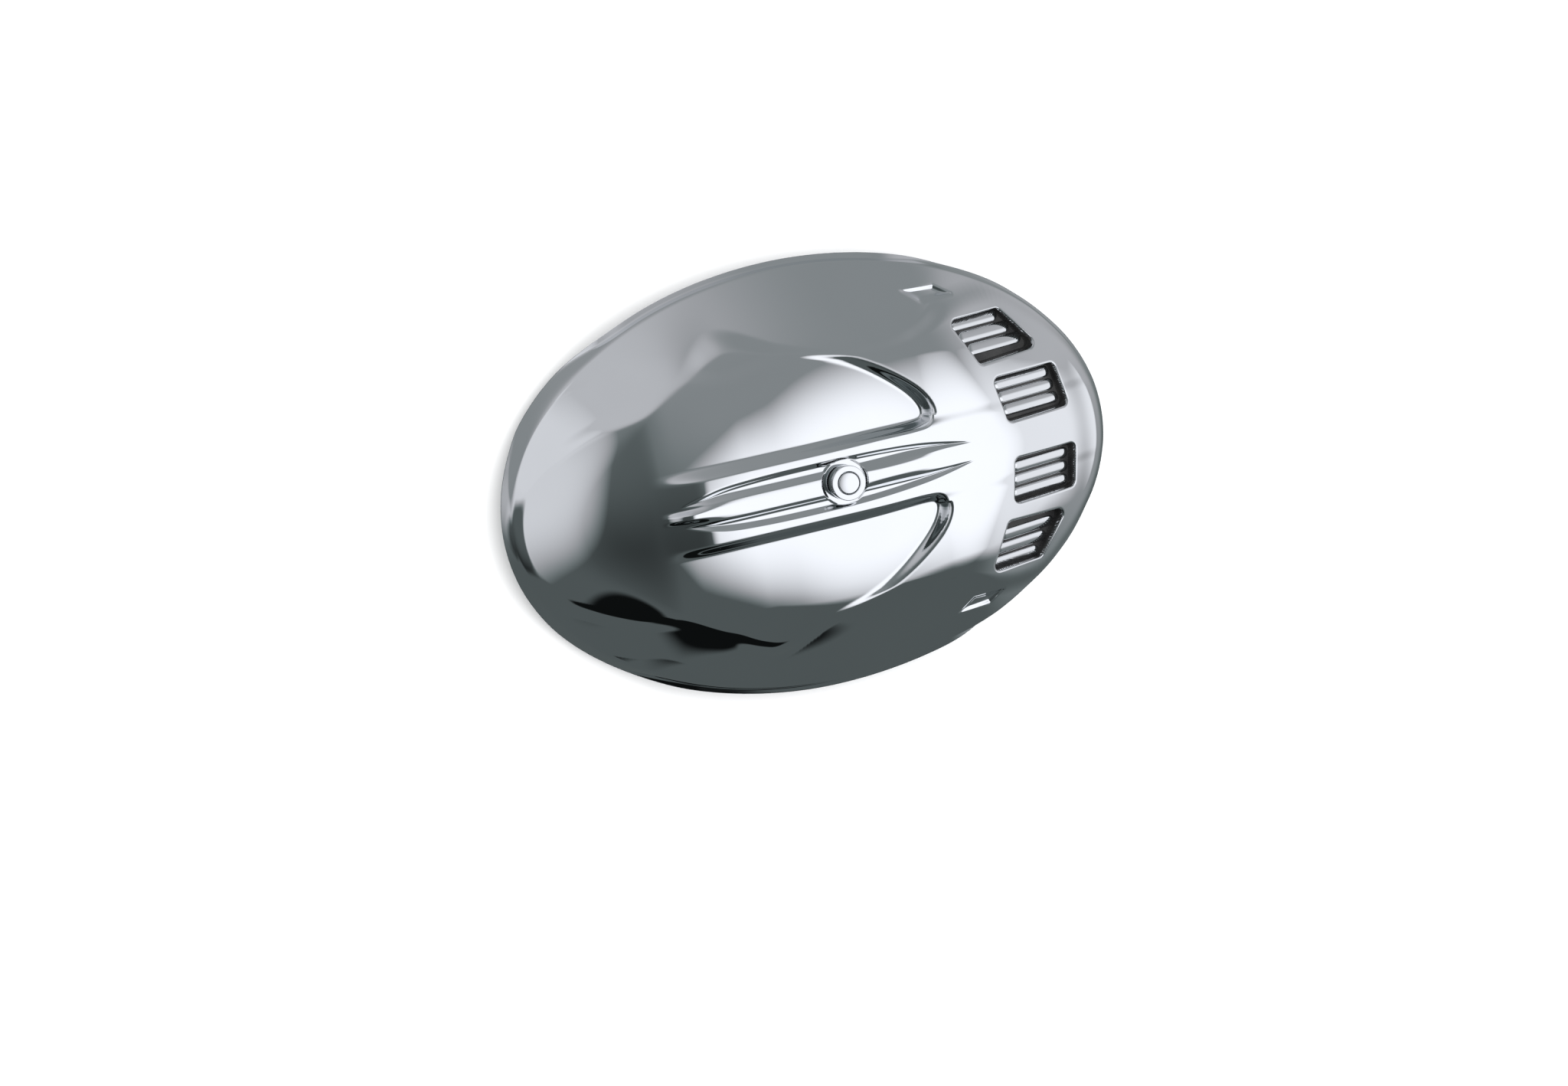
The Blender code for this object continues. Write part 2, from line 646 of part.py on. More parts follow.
def washer(name, inner, outer, bottom, top, place, material, parts, steps=24):
    profile = [(outer, top), (outer, bottom), (inner, bottom), (inner, top)]
    return finish(turned(name, profile, place, steps, parts), material)


# --- bracket, filter and backing plate -----------------------------------------------------------------------

def make_bracket(material, parts):
    holes = [circle_outline(0, 0, BRACKET_CENTRE_HOLE)]
    holes += [circle_outline(x, 0, BRACKET_PEG_HOLE) for x in (-PEG_X, PEG_X)]
    holes += [circle_outline(x, y, BRACKET_SCREW_HOLE, 16) for x, y in FILTER_SCREWS]
    outline = oblong_outline(BRACKET_STRAIGHT, BRACKET_RADIUS, 32)
    return finish(prism("mounting_bracket", [outline] + holes, BRACKET_BASE, BRACKET_TOP, parts), material)


def make_bracket_insert(material, parts):
    return finish(turned("bracket_insert", BRACKET_INSERT_PROFILE, (0, 0), 24, parts), material)


def make_grommet(name, x, material, parts):
    return finish(turned(name, GROMMET_PROFILE, (x, 0), 20, parts), material)


def make_filter_screw(name, place, material, parts):
    return finish(turned(name, FILTER_SCREW_PROFILE, place, 16, parts), material)


def filter_ring(name, inner, outer, bottom, top, material, parts):
    loops = [oblong_outline(FILTER_STRAIGHT, outer), oblong_outline(FILTER_STRAIGHT, inner)]
    return finish(prism(name, loops, bottom, top, parts), material)


def make_filter_cap(material, parts):
    holes = [circle_outline(0, 0, CAP_HOLE_RADIUS)]
    holes += [circle_outline(x, y, FILTER_SCREW_HOLE_RADIUS, 16) for x, y in FILTER_SCREWS]
    outline = oblong_outline(FILTER_STRAIGHT, FILTER_OUTER)
    return finish(prism("filter_top_cap", [outline] + holes, CAP_BASE, CAP_TOP, parts), material)


def make_backing_plate(material, parts, cutters):
    outline = ellipse_outline(HALF_LENGTH - PLATE_INSET, HALF_WIDTH - PLATE_INSET)
    plate = prism("backing_plate", [outline], PLATE_REAR, PLATE_FRONT, parts)
    inside = (PLATE_REAR + PLATE_FRONT) / 2
    cut(plate, as_cutter(rod("intake_boss", 0, 0, INTAKE_FLANGE_RADIUS, FLANGE_REAR, inside, cutters, 32)), "UNION")
    for x in (-BREATHER_X, BREATHER_X):
        cut(plate, as_cutter(rod("breather_boss", x, 0, BREATHER_BOSS_RADIUS, FLANGE_REAR, inside, cutters)), "UNION")
        cut(plate, as_cutter(rod("breather_hole", x, 0, BREATHER_HOLE_RADIUS, BELOW_PLATE, ABOVE_PLATE, cutters)))
    for x, y in FILTER_SCREWS:
        cut(plate, as_cutter(rod("standoff", x, y, STANDOFF_RADIUS, inside, STANDOFF_TOP, cutters, 16)), "UNION")
        hole = rod("standoff_hole", x, y, STANDOFF_HOLE_RADIUS, STANDOFF_HOLE_BOTTOM, STANDOFF_TOP + 0.003, cutters, 16)
        cut(plate, as_cutter(hole))
    cut(plate, as_cutter(rod("intake_hole", 0, 0, INTAKE_RADIUS, BELOW_PLATE, ABOVE_PLATE, cutters, 32)))
    for x, y in INTAKE_SCREWS:
        hole = rod("intake_screw_hole", x, y, INTAKE_HOLE_RADIUS, BELOW_PLATE, ABOVE_PLATE, cutters, 16)
        cut(plate, as_cutter(hole))
    return finish(plate, material)


def make_velocity_stack(material, parts, cutters):
    stack = turned("velocity_stack", STACK_PROFILE, (0, 0), 32, parts)
    for x, y in INTAKE_SCREWS:
        cut(stack, as_cutter(rod("stack_hole", x, y, INTAKE_HOLE_RADIUS, PLATE_REAR, ABOVE_PLATE, cutters, 16)))
    return finish(stack, material)


def make_intake_screw(name, place, material, parts):
    return finish(turned(name, INTAKE_SCREW_PROFILE, place, 16, parts), material)


def make_gasket(material, parts):
    loops = [circle_outline(0, 0, INTAKE_FLANGE_RADIUS, 32), circle_outline(0, 0, INTAKE_RADIUS, 32)]
    loops += [circle_outline(x, y, INTAKE_HOLE_RADIUS, 16) for x, y in INTAKE_SCREWS]
    return finish(prism("intake_gasket", loops, GASKET_REAR, GASKET_FRONT, parts), material)


def make_breather_bolt(name, x, material, parts, cutters):
    """A hollow bolt with a hexagon head."""
    bolt = prism(name, [circle_outline(x, 0, BOLT_HEAD_RADIUS, 6)], BOLT_HEAD_BOTTOM, BOLT_HEAD_TOP, parts)
    shank_top = (BOLT_HEAD_BOTTOM + BOLT_HEAD_TOP) / 2
    cut(bolt, as_cutter(rod(name + "_shank", x, 0, BOLT_RADIUS, 0.0, shank_top, cutters)), "UNION")
    cut(bolt, as_cutter(rod(name + "_bore", x, 0, BOLT_BORE_RADIUS, -0.001, 0.03, cutters, 12)))
    return finish(bolt, material)


def carry(name, place, things, collection):
    """Parents a moving body's pieces to an empty on its joint's axis."""
    empty = bpy.data.objects.new(name, None)
    empty.location = place
    collection.objects.link(empty)
    bpy.context.view_layer.update()
    for thing in things:
        thing.parent = empty
        thing.matrix_parent_inverse = empty.matrix_world.inverted()
    return empty


def main():
    clear_scene()
    parts = make_collection("oval_air_cleaner")
    cutters = make_collection("cutters")
    chrome = make_material("chrome", (0.80, 0.81, 0.83), 1.0, 0.04)
    steel = make_material("zinc_steel", (0.62, 0.62, 0.60), 1.0, 0.30)
    spring_steel = make_material("spring_steel", (0.25, 0.26, 0.28), 1.0, 0.35)
    aluminium = make_material("cast_aluminium", (0.60, 0.61, 0.62), 1.0, 0.45)
    rubber = make_material("black_rubber", (0.02, 0.02, 0.02), 0.0, 0.75)
    paper = make_material("gasket_paper", (0.20, 0.24, 0.20), 0.0, 0.85)
    media = make_material("filter_media", (0.55, 0.10, 0.08), 0.0, 0.90)
    mesh_wire = make_material("mesh_wire", (0.55, 0.56, 0.57), 1.0, 0.35)
    brass = make_material("brass", (0.70, 0.52, 0.22), 1.0, 0.30)
    black_paint = make_material("black_paint", (0.03, 0.03, 0.03), 0.0, 0.40)

    cover = [make_cover(chrome, parts, cutters)]
    for index, (corners, side, shift) in enumerate(WINDOWS, start=1):
        cover.append(make_louvre_insert(index, corners, side, shift, chrome, parts, cutters))
        cover += make_push_nuts(2 * index - 1, corners, side, spring_steel, parts)
    seat = RIM_Z + SEAT_HEIGHT
    screw_washer = washer("screw_washer", 0.0034, 0.0062, WASHER_BOTTOM, WASHER_TOP, (0, 0), rubber, parts)
    screw = [make_cover_screw(chrome, parts), make_dress_cap(chrome, parts)]
    screw.append(washer("screw_retaining_ring", 0.0026, 0.0046, RING_BOTTOM, RING_TOP, (0, 0), spring_steel, parts))

    make_bracket(steel, parts)
    make_bracket_insert(brass, parts)
    make_grommet("locating_grommet_left", -PEG_X, rubber, parts)
    make_grommet("locating_grommet_right", PEG_X, rubber, parts)
    for index, place in enumerate(FILTER_SCREWS, start=1):
        make_filter_screw(f"filter_screw_{index}", place, steel, parts)
    make_filter_cap(black_paint, parts)
    filter_ring("filter_outer_mesh", FILTER_OUTER - MESH_THICKNESS, FILTER_OUTER, MEDIA_BASE, MEDIA_TOP, mesh_wire, parts)
    filter_ring("filter_media", MEDIA_INNER, MEDIA_OUTER, MEDIA_BASE, MEDIA_TOP, media, parts)
    filter_ring("filter_inner_mesh", FILTER_INNER, FILTER_INNER + MESH_THICKNESS, MEDIA_BASE, MEDIA_TOP, mesh_wire,
                parts)
    filter_ring("filter_base_seal", FILTER_INNER, FILTER_OUTER, SEAL_BASE, SEAL_TOP, rubber, parts)
    make_backing_plate(aluminium, parts, cutters)
    make_velocity_stack(aluminium, parts, cutters)
    for index, place in enumerate(INTAKE_SCREWS, start=1):
        make_intake_screw(f"intake_screw_{index}", place, steel, parts)
    make_gasket(paper, parts)
    for end, x in (("front", BREATHER_X), ("rear", -BREATHER_X)):
        make_breather_bolt(f"breather_bolt_{end}", x, steel, parts, cutters)
        place = (x, 0)
        washer(f"breather_washer_{end}", BREATHER_HOLE_RADIUS, BOLT_HEAD_RADIUS, BOLT_WASHER_BOTTOM,
               BOLT_WASHER_TOP, place, steel, parts, 20)
        washer(f"breather_seal_{end}", BREATHER_HOLE_RADIUS, BREATHER_SEAL_RADIUS, GASKET_REAR, GASKET_FRONT,
               place, rubber, parts, 20)

    lift = carry("cover_lift_axis", (0, 0, RIM_Z), cover, parts)
    travel = carry("washer_travel_axis", (0, 0, seat), [screw_washer], parts)
    turn = carry("screw_turn_axis", (0, 0, seat), screw, parts)
    travel.parent = lift
    travel.matrix_parent_inverse = lift.matrix_world.inverted()
    turn.parent = travel
    bpy.context.view_layer.update()
    turn.matrix_parent_inverse = travel.matrix_world.inverted()


main()
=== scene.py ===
"""Looks of the oval air cleaner: its sculpted chrome cover with louvred windows, and all that it hides.

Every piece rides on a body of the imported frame.  +Z points out through the cover; all lengths are in metres.
"""

import math

import bmesh
import bpy
import numpy as np
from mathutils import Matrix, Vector
from mathutils.geometry import tessellate_polygon


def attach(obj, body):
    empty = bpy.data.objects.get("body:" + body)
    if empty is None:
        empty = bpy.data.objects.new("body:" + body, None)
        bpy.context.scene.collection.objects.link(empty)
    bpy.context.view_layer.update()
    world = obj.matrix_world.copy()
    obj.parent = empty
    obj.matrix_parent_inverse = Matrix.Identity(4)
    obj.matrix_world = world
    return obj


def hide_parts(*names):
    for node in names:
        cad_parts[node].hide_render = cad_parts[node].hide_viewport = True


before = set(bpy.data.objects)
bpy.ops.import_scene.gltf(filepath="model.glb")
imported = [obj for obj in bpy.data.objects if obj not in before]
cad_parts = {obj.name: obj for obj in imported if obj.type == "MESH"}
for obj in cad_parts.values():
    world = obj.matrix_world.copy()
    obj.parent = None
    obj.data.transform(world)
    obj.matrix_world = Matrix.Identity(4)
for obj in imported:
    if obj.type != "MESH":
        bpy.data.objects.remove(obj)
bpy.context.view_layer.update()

# Cover, heights measured above its rim
HALF_LENGTH = 0.125
HALF_WIDTH = 0.0855
RIM_Z = 0.010
WALL = 0.0025
SKIRT_HEIGHT = 0.018
SKIRT_INSET = 0.0032
SHOULDER_SLOPE = 1.07
CROWN_HEIGHT = 0.0528
SEAT_HEIGHT = 0.0560
SEAT_RADIUS = 0.0085
SPINE_LEFT = -0.066
SPINE_RIGHT = 0.058
POCKET_DEPTH = 0.0062
POCKET_ROUNDING = 0.0011
POCKET_CORNER = 0.0030
# How far inside a pocket's edge, and below its top, the black painted shade starts
SHADE_PAINT_INSET = 0.0006
GROUND_EDGE = 0.0002
INSERT_GAP = 0.0009
INSERT_SLOT = 0.0008
INSERT_THICKNESS = 0.0015
INSERT_CORNER = 0.0022
INSERT_BEVEL = 0.0004
GAP = 0.0003
RIBS = 3
RIB_RADIUS = 0.0023
RIB_SQUASH = 0.45
RIB_PITCH = 0.0053
RIB_START = 0.0036
RIB_END = 0.0022
STUD_RADIUS = 0.0015
STUD_LENGTH = 0.0062
STUD_SPREAD = 0.008
NUT_RADIUS = 0.0040
NUT_THICKNESS = 0.0008
NUT_SLIT_REACH = 0.0027
NUT_CORNERS = 48

# Centre of the cover, heights above the bench plane
BOSS_RADIUS = 0.0080
BOSS_BOTTOM = 0.0519
BOSS_TOP = 0.0645
PEG_X = 0.0280
PEG_RADIUS = 0.0025
PEG_BOTTOM = 0.0495
PEG_TOP = 0.0635
SCREW_RADIUS = 0.0030
SCREW_CLEARANCE = 0.0004
BORE_BOTTOM = 0.045
RING_BORE_RADIUS = 0.0055
RING_BORE_TOP = 0.0627
RING_BOTTOM = 0.0527
RING_TOP = 0.0535
WASHER_BOTTOM = 0.0663
WASHER_TOP = 0.0671

# Stack under the cover, heights above the bench plane
GASKET_REAR = 0.0067
GASKET_FRONT = 0.0077
FLANGE_REAR = 0.0080
PLATE_REAR = 0.0120
PLATE_FRONT = 0.0150
PLATE_MIDDLE = 0.0135
SEAL_BASE = 0.0153
SEAL_TOP = 0.0173
MEDIA_BASE = 0.0176
MEDIA_TOP = 0.0457
CAP_BASE = 0.0460
CAP_TOP = 0.0482
BRACKET_BASE = 0.0486
BRACKET_TOP = 0.0516
STANDOFF_TOP = 0.0270
STANDOFF_HOLE_BOTTOM = 0.0165
BOLT_HEAD_BOTTOM = 0.0165
BOLT_HEAD_TOP = 0.0225
BOLT_SHANK_TOP = 0.0180
BOLT_WASHER_BOTTOM = 0.0153
BOLT_WASHER_TOP = 0.0162
BELOW_PLATE = 0.004
ABOVE_PLATE = 0.02
ABOVE_HEADS = 0.03

# Bracket, filter and backing plate
BRACKET_STRAIGHT = 0.0400
BRACKET_RADIUS = 0.0165
BRACKET_CENTRE_HOLE = 0.0045
BRACKET_PEG_HOLE = 0.0047
BRACKET_SCREW_HOLE = 0.0023
FILTER_STRAIGHT = 0.0240
FILTER_OUTER = 0.0458
FILTER_INNER = 0.0312
MESH_THICKNESS = 0.0008
WIRES_AROUND = 132
WIRES_UP = 10
MESH_HOLE = 0.30
MEDIA_OUTER = 0.0447
MEDIA_INNER = 0.0325
MEDIA_THICKNESS = 0.0010
MEDIA_PLEATS = 84
CAP_CENTRE_HOLE = 0.0070
CAP_SCREW_HOLE = 0.0026
FILTER_SCREWS = [(-0.0440, 0.0), (0.0440, 0.0090), (0.0440, -0.0090)]
PLATE_INSET = 0.0130
INTAKE_RADIUS = 0.0200
INTAKE_FLANGE_RADIUS = 0.0305
INTAKE_SCREW_CIRCLE = 0.0268
INTAKE_SCREWS = [
    (INTAKE_SCREW_CIRCLE * math.cos(math.radians(a)), INTAKE_SCREW_CIRCLE * math.sin(math.radians(a)))
    for a in (0, 120, 240)
]
INTAKE_SCREW_HOLE = 0.0028
STANDOFF_RADIUS = 0.0050
STANDOFF_HOLE_RADIUS = 0.0022
BREATHER_X = 0.0920
BREATHER_BOSS_RADIUS = 0.0110
BREATHER_HOLE_RADIUS = 0.0055
BREATHER_SEAL_RADIUS = 0.0095
BOLT_HEAD_RADIUS = 0.0085
BOLT_RADIUS = 0.0050
BOLT_BORE_RADIUS = 0.0022
FILTER_SOCKET = 0.0021
INTAKE_SOCKET = 0.0018
SOCKET_DEPTH = 0.0012
SHARP_ANGLE = 35

# Profiles of the turned pieces, as (radius, height above the bench plane)
SCREW_PROFILE = [
    (0, 0.0704), (0.0044, 0.0704), (0.0044, 0.0719), (0.00675, 0.0719), (0.00675, 0.0674),
    (SCREW_RADIUS, 0.0674), (SCREW_RADIUS, 0.0540), (0.0024, 0.0540), (0.0024, 0.0522),
    (SCREW_RADIUS, 0.0522), (SCREW_RADIUS, 0.0442), (0.0022, 0.0434), (0, 0.0434),
]
DRESS_CAP_PROFILE = [(0, 0.0724), (0.0041, 0.0722), (0.0041, 0.0707), (0, 0.0707)]
BRACKET_INSERT_PROFILE = [
    (0.0042, 0.0515), (0.0042, 0.0483), (0.0055, 0.0483), (0.0055, 0.0430), (0.0033, 0.0430),
    (0.0033, 0.0515),
]
GROMMET_PROFILE = [
    (0.0058, 0.0530), (0.0058, 0.0519), (0.0044, 0.0519), (0.0044, 0.0489), (0.0028, 0.0489),
    (0.0028, 0.0530),
]
FILTER_SCREW_PROFILE = [
    (0, 0.0544), (0.0042, 0.0544), (0.0042, 0.0519), (0.0019, 0.0519), (0.0019, 0.0180), (0, 0.0180),
]
STACK_PROFILE = [
    (0.0228, 0.0262), (0.0234, 0.0254), (0.0236, 0.0242), (0.0226, 0.0215), (0.0221, 0.0173),
    (INTAKE_FLANGE_RADIUS, 0.0173), (INTAKE_FLANGE_RADIUS, 0.0153), (0.0203, 0.0153), (0.0203, 0.0185),
    (0.0208, 0.0225), (0.0217, 0.0253),
]
INTAKE_SCREW_PROFILE = [
    (0, 0.0202), (0.0033, 0.0202), (0.0033, 0.0176), (0.0024, 0.0176), (0.0024, 0.0008), (0.0018, 0), (0, 0),
]

# The cover's outlines in plan, for y above 0; the other side mirrors them
CROWN_EDGE = [
    (-0.1215, 0.0), (-0.1190, 0.0130), (-0.1110, 0.0250), (-0.1000, 0.0320), (-0.0860, 0.0380),
    (-0.0700, 0.0420), (-0.0540, 0.0500), (-0.0400, 0.0575), (-0.0300, 0.0592), (-0.0120, 0.0540),
    (0.0100, 0.0490), (0.0300, 0.0480), (0.0450, 0.0500), (0.0600, 0.0540), (0.0800, 0.0550),
    (0.0930, 0.0455), (0.1030, 0.0355), (0.1105, 0.0260), (0.1160, 0.0135), (0.1178, 0.0),
]
PAD_EDGE = [
    (-0.0680, 0.0180), (-0.0300, 0.0174), (0.0050, 0.0172), (0.0320, 0.0166), (0.0376, 0.0185),
    (0.0335, 0.0262), (0.0210, 0.0365), (0.0070, 0.0440), (-0.0100, 0.0490), (-0.0450, 0.0500),
    (-0.0660, 0.0400),
]
GROOVE_EDGE = [
    (-0.0640, 0.0034), (-0.0520, 0.0082), (-0.0350, 0.0098), (-0.0100, 0.0102), (0.0150, 0.0098),
    (0.0380, 0.0078), (0.0560, 0.0034), (0.0300, 0.0030), (-0.0300, 0.0028),
]
BLIND_POCKET = [(0.0410, 0.0665), (0.0500, 0.0580), (0.0690, 0.0585), (0.0590, 0.0655)]
OUTER_WINDOW = [(0.0660, 0.0310), (0.0965, 0.0322), (0.0825, 0.0510), (0.0562, 0.0510)]
INNER_WINDOW = [(0.0722, 0.0066), (0.1032, 0.0070), (0.1005, 0.0256), (0.0692, 0.0258)]
# Each window: its outline, the side of the long axis it is on, and how far its ribs are shifted outwards
WINDOWS = [
    (OUTER_WINDOW, 1, 0.0013), (INNER_WINDOW, 1, 0.0004),
    (INNER_WINDOW, -1, 0.0004), (OUTER_WINDOW, -1, 0.0013),
]

# Camera: a 70 mm lens, 1.2 m off, leaning 18 degrees from the cover's own axis
CAMERA_PLACE = (-0.3411, 0.1610, 1.1754)
CAMERA_TURN = (-5.620, -17.126, -11.232)
CAMERA_LENS = 70.3

# The surroundings' soft lights and cards, as (azimuth, angle off +Z, outer angle, inner angle, strength)
KEY_LIGHTS = [(-20, 31.5, 34, 14, 1.12), (-12, 58, 40, 15, 0.88)]
LEFT_LIGHT = (146, 98, 34, 14, 0.70)
BLACK_CARDS = [(262, 80, 24, 19, 0.95), (235, 79, 21, 17, 0.95)]
DARK_CARD = (180, 33, 46, 14, 0.58)
EDGE_CARD = (186, 103, 22, 15, 0.85)
OVERHEAD_PLACE = (-0.3, 0.3, 2.2)
OVERHEAD_SIZE = 2.4
OVERHEAD_POWER = 80
FLOOR_REACH = 3.0


# --- plane outlines -------------------------------------------------------------------------------

def spline_outline(points, steps=8):
    """A closed Catmull-Rom curve through the points."""
    points = np.array(points)
    before = np.roll(points, 1, axis=0)
    after = np.roll(points, -1, axis=0)
    beyond = np.roll(points, -2, axis=0)
    rows = []
    for t in np.arange(steps) / steps:
        curve = 2 * points + (after - before) * t
        curve = curve + (2 * before - 5 * points + 4 * after - beyond) * t ** 2
        curve = curve + (3 * points - before - 3 * after + beyond) * t ** 3
        rows.append(curve / 2)
    return np.stack(rows, axis=1).reshape(-1, 2)


def mirrored(points):
    """Closes an outline's upper half, which starts and ends on y = 0, with its mirror image."""
    return points + [(x, -y) for x, y in reversed(points[1:-1])]


def offset_outline(points, distances):
    """Moves each side of a convex, anticlockwise polygon outwards by its distance."""
    corners = [np.array(p) for p in points]
    lines = []
    for a, b, distance in zip(corners, corners[1:] + corners[:1], distances):
        side = (b - a) / np.linalg.norm(b - a)
        normal = np.array([side[1], -side[0]])
        lines.append((normal, normal @ a + distance))
    result = []
    for (n1, d1), (n2, d2) in zip(lines[-1:] + lines[:-1], lines):
        result.append(tuple(np.linalg.solve(np.array([n1, n2]), np.array([d1, d2]))))
    return result


def rounded_outline(points, radius, steps=8):
    """A polygon with its corners rounded by arcs."""
    corners = [np.array(p) for p in points]
    result = []
    for before, corner, after in zip(corners[-1:] + corners[:-1], corners, corners[1:] + corners[:1]):
        inward = (before - corner) / np.linalg.norm(before - corner)
        outward = (after - corner) / np.linalg.norm(after - corner)
        half = 0.5 * math.acos(float(np.clip(inward @ outward, -1, 1)))
        middle = corner + (inward + outward) / np.linalg.norm(inward + outward) * radius / math.sin(half)
        start = corner + inward * radius / math.tan(half) - middle
        end = corner + outward * radius / math.tan(half) - middle
        for t in np.linspace(0, 1, steps + 1):
            spoke = start * (1 - t) + end * t
            result.append(tuple(middle + spoke / np.linalg.norm(spoke) * radius))
    return result


# --- the cover's surface --------------------------------------------------------------------------

def signed_distance(x, y, outline, reach=0.015):
    """Distance to a closed outline, negative inside it, worked out within reach of the outline's box."""
    outline = np.array(outline)
    low = outline.min(axis=0) - reach
    high = outline.max(axis=0) + reach
    near = (x > low[0]) & (x < high[0]) & (y > low[1]) & (y < high[1])
    px = x[near]
    py = y[near]
    distance = np.full(px.shape, np.inf)
    inside = np.zeros(px.shape, dtype=bool)
    for (ax, ay), (bx, by) in zip(outline, np.roll(outline, -1, axis=0)):
        ex = bx - ax
        ey = by - ay
        along = np.clip(((px - ax) * ex + (py - ay) * ey) / (ex * ex + ey * ey), 0, 1)
        distance = np.minimum(distance, np.hypot(px - ax - along * ex, py - ay - along * ey))
        if ey != 0:
            crosses = (ay > py) != (by > py)
            inside ^= crosses & (px < ax + (py - ay) * ex / ey)
    result = np.full(x.shape, reach)
    result[near] = np.where(inside, -distance, np.minimum(distance, reach))
    return result


def ease(t):
    t = np.clip(t, 0, 1)
    return t * t * t * (t * (6 * t - 15) + 10)


def soft_min(a, b, radius):
    blend = np.maximum(radius - np.abs(a - b), 0) / radius
    return np.minimum(a, b) - blend * blend * radius / 4


def soft_max(a, b, radius):
    return -soft_min(-a, -b, radius)


def inward_distance(x, y):
    """Distance from the rim's ellipse, to first order."""
    rho = np.maximum(np.hypot(x / HALF_LENGTH, y / HALF_WIDTH), 1e-6)
    gradient = np.hypot(x / HALF_LENGTH ** 2, y / HALF_WIDTH ** 2) / rho
    return (1 - rho) / gradient


def skirt_height(x):
    """Height of the skirt, which is taller beside the windows."""
    return SKIRT_HEIGHT + 0.0050 * ease((x - 0.025) / 0.045) * (1 - ease((x - 0.095) / 0.028))


def crown_height(x, y):
    """The smooth crown before anything is raised from it or sunk into it."""
    back = np.clip(-0.036 - x, 0, None)
    head = np.clip(-0.069 - x, 0, None)
    right = np.clip((x - 0.040) / 0.062, 0, None)
    along = CROWN_HEIGHT - 1.65 * back ** 2 - 0.90 * (np.hypot(head, 0.040) - 0.040) - 0.0143 * right ** 1.82
    fall = 2.6 + 2.4 * ease((x - 0.040) / 0.050)
    fall = fall + 0.8 * ease(-x / 0.080) + 2.6 * ease((-0.060 - x) / 0.040)
    return along - fall * y ** 2


def pad_depth(x):
    """Depth of the scooped pads below the crown, which grows towards their tips."""
    return 0.0058 * np.clip((x + 0.023) / 0.061, 0, 1.1) ** 2.2


def spear_rise(x):
    """Height of the spear's side rails above the crown."""
    return 0.0040 * ease((x + 0.0755) / 0.0235) * (1 - 0.95 * ease((x + 0.010) / 0.066))


def ridge_height(x):
    """Height of the spear's middle ridge, which stays level where the crown falls away behind it."""
    return CROWN_HEIGHT + 0.0046 * (1 - ease((x - 0.004) / 0.056))


def window_plane(corners):
    """The sloping plane that touches the crown at a window's middle, as a height above the rim."""
    middle = np.mean(np.array(corners), axis=0)
    step = 0.001
    rise_x = crown_height(middle[0] + step, middle[1]) - crown_height(middle[0] - step, middle[1])
    rise_y = crown_height(middle[0], middle[1] + step) - crown_height(middle[0], middle[1] - step)
    slope_x = rise_x / (2 * step)
    slope_y = rise_y / (2 * step)
    height = crown_height(middle[0], middle[1])

    def plane(x, y):
        return height + slope_x * (x - middle[0]) + slope_y * (np.abs(y) - middle[1])

    return plane


def sink_pocket(x, y, z, corners):
    """Sinks a window pocket, with a rounded edge, a near-upright wall and a flat floor."""
    edge = signed_distance(x, y, rounded_outline(corners, POCKET_CORNER))
    inside = np.maximum(-edge + 0.4 * POCKET_ROUNDING, 0)
    t = np.clip(inside / POCKET_ROUNDING, 0, 1)
    lip = POCKET_ROUNDING * (1 - np.sqrt(1 - t * t))
    floor = window_plane(corners)(x, y) - POCKET_DEPTH
    wall = z - lip - 9.0 * np.maximum(inside - 0.96 * POCKET_ROUNDING, 0)
    return np.where(inside > 0, soft_max(wall, floor, 0.0004), z)


def cover_height(x, y):
    """Height of the cover's outer face above its rim."""
    y = np.abs(y)
    inward = inward_distance(x, y)
    crown = crown_height(x, y)
    outside = signed_distance(x, y, spline_outline(mirrored(CROWN_EDGE)))
    beyond = soft_max(outside, 0, 0.003)
    facet = ease((-0.030 - x) / 0.030)
    top = skirt_height(x)
    shoulder = top + (SHOULDER_SLOPE + 0.16 * facet) * (inward - SKIRT_INSET)
    skirt = inward * top / SKIRT_INSET
    side = soft_min(skirt, shoulder, 0.003)
    blend = 0.010 - 0.0075 * facet + 0.0060 * ease((-0.042 - x) / 0.048)
    body = soft_min(side, crown - 0.40 * facet * beyond, blend)
    fillet = 0.0015 + 0.0050 * ease((x - 0.040) / 0.030)
    z = soft_max(body, crown - 1.5 * beyond, fillet)

    pad = signed_distance(x, y, spline_outline(PAD_EDGE))
    width = np.where(y < 0.0175, 0.0046, 0.0060)
    sink = pad_depth(x) * (1 - ease(pad / width))
    z = z - np.where(outside < 0, sink * ease(-outside / 0.004), 0)

    rails = 1 - ease((y - 0.0118) / 0.0055)
    z = z + spear_rise(x) * rails
    ridge = np.maximum(ridge_height(x) - z, 0)
    ridge = ridge * ease((x + 0.0730) / 0.0140) * (1 - ease((x - 0.044) / 0.016))
    nose = 1 + 0.9 * ease((-0.044 - x) / 0.026)
    z = z + ridge * (1 - ease((y * nose - 0.0008) / 0.0046))
    groove = signed_distance(x, y, spline_outline(GROOVE_EDGE))
    z = z - 0.0014 * ease(-groove / 0.0033)

    blind = signed_distance(x, y, rounded_outline(BLIND_POCKET, 0.0015))
    z = z - 0.0022 * ease(-blind / 0.0035)
    for corners in (OUTER_WINDOW, INNER_WINDOW):
        z = sink_pocket(x, y, z, corners)

    seat = 1 - ease((np.hypot(x, y) - SEAT_RADIUS) / 0.0009)
    return z * (1 - seat) + SEAT_HEIGHT * seat


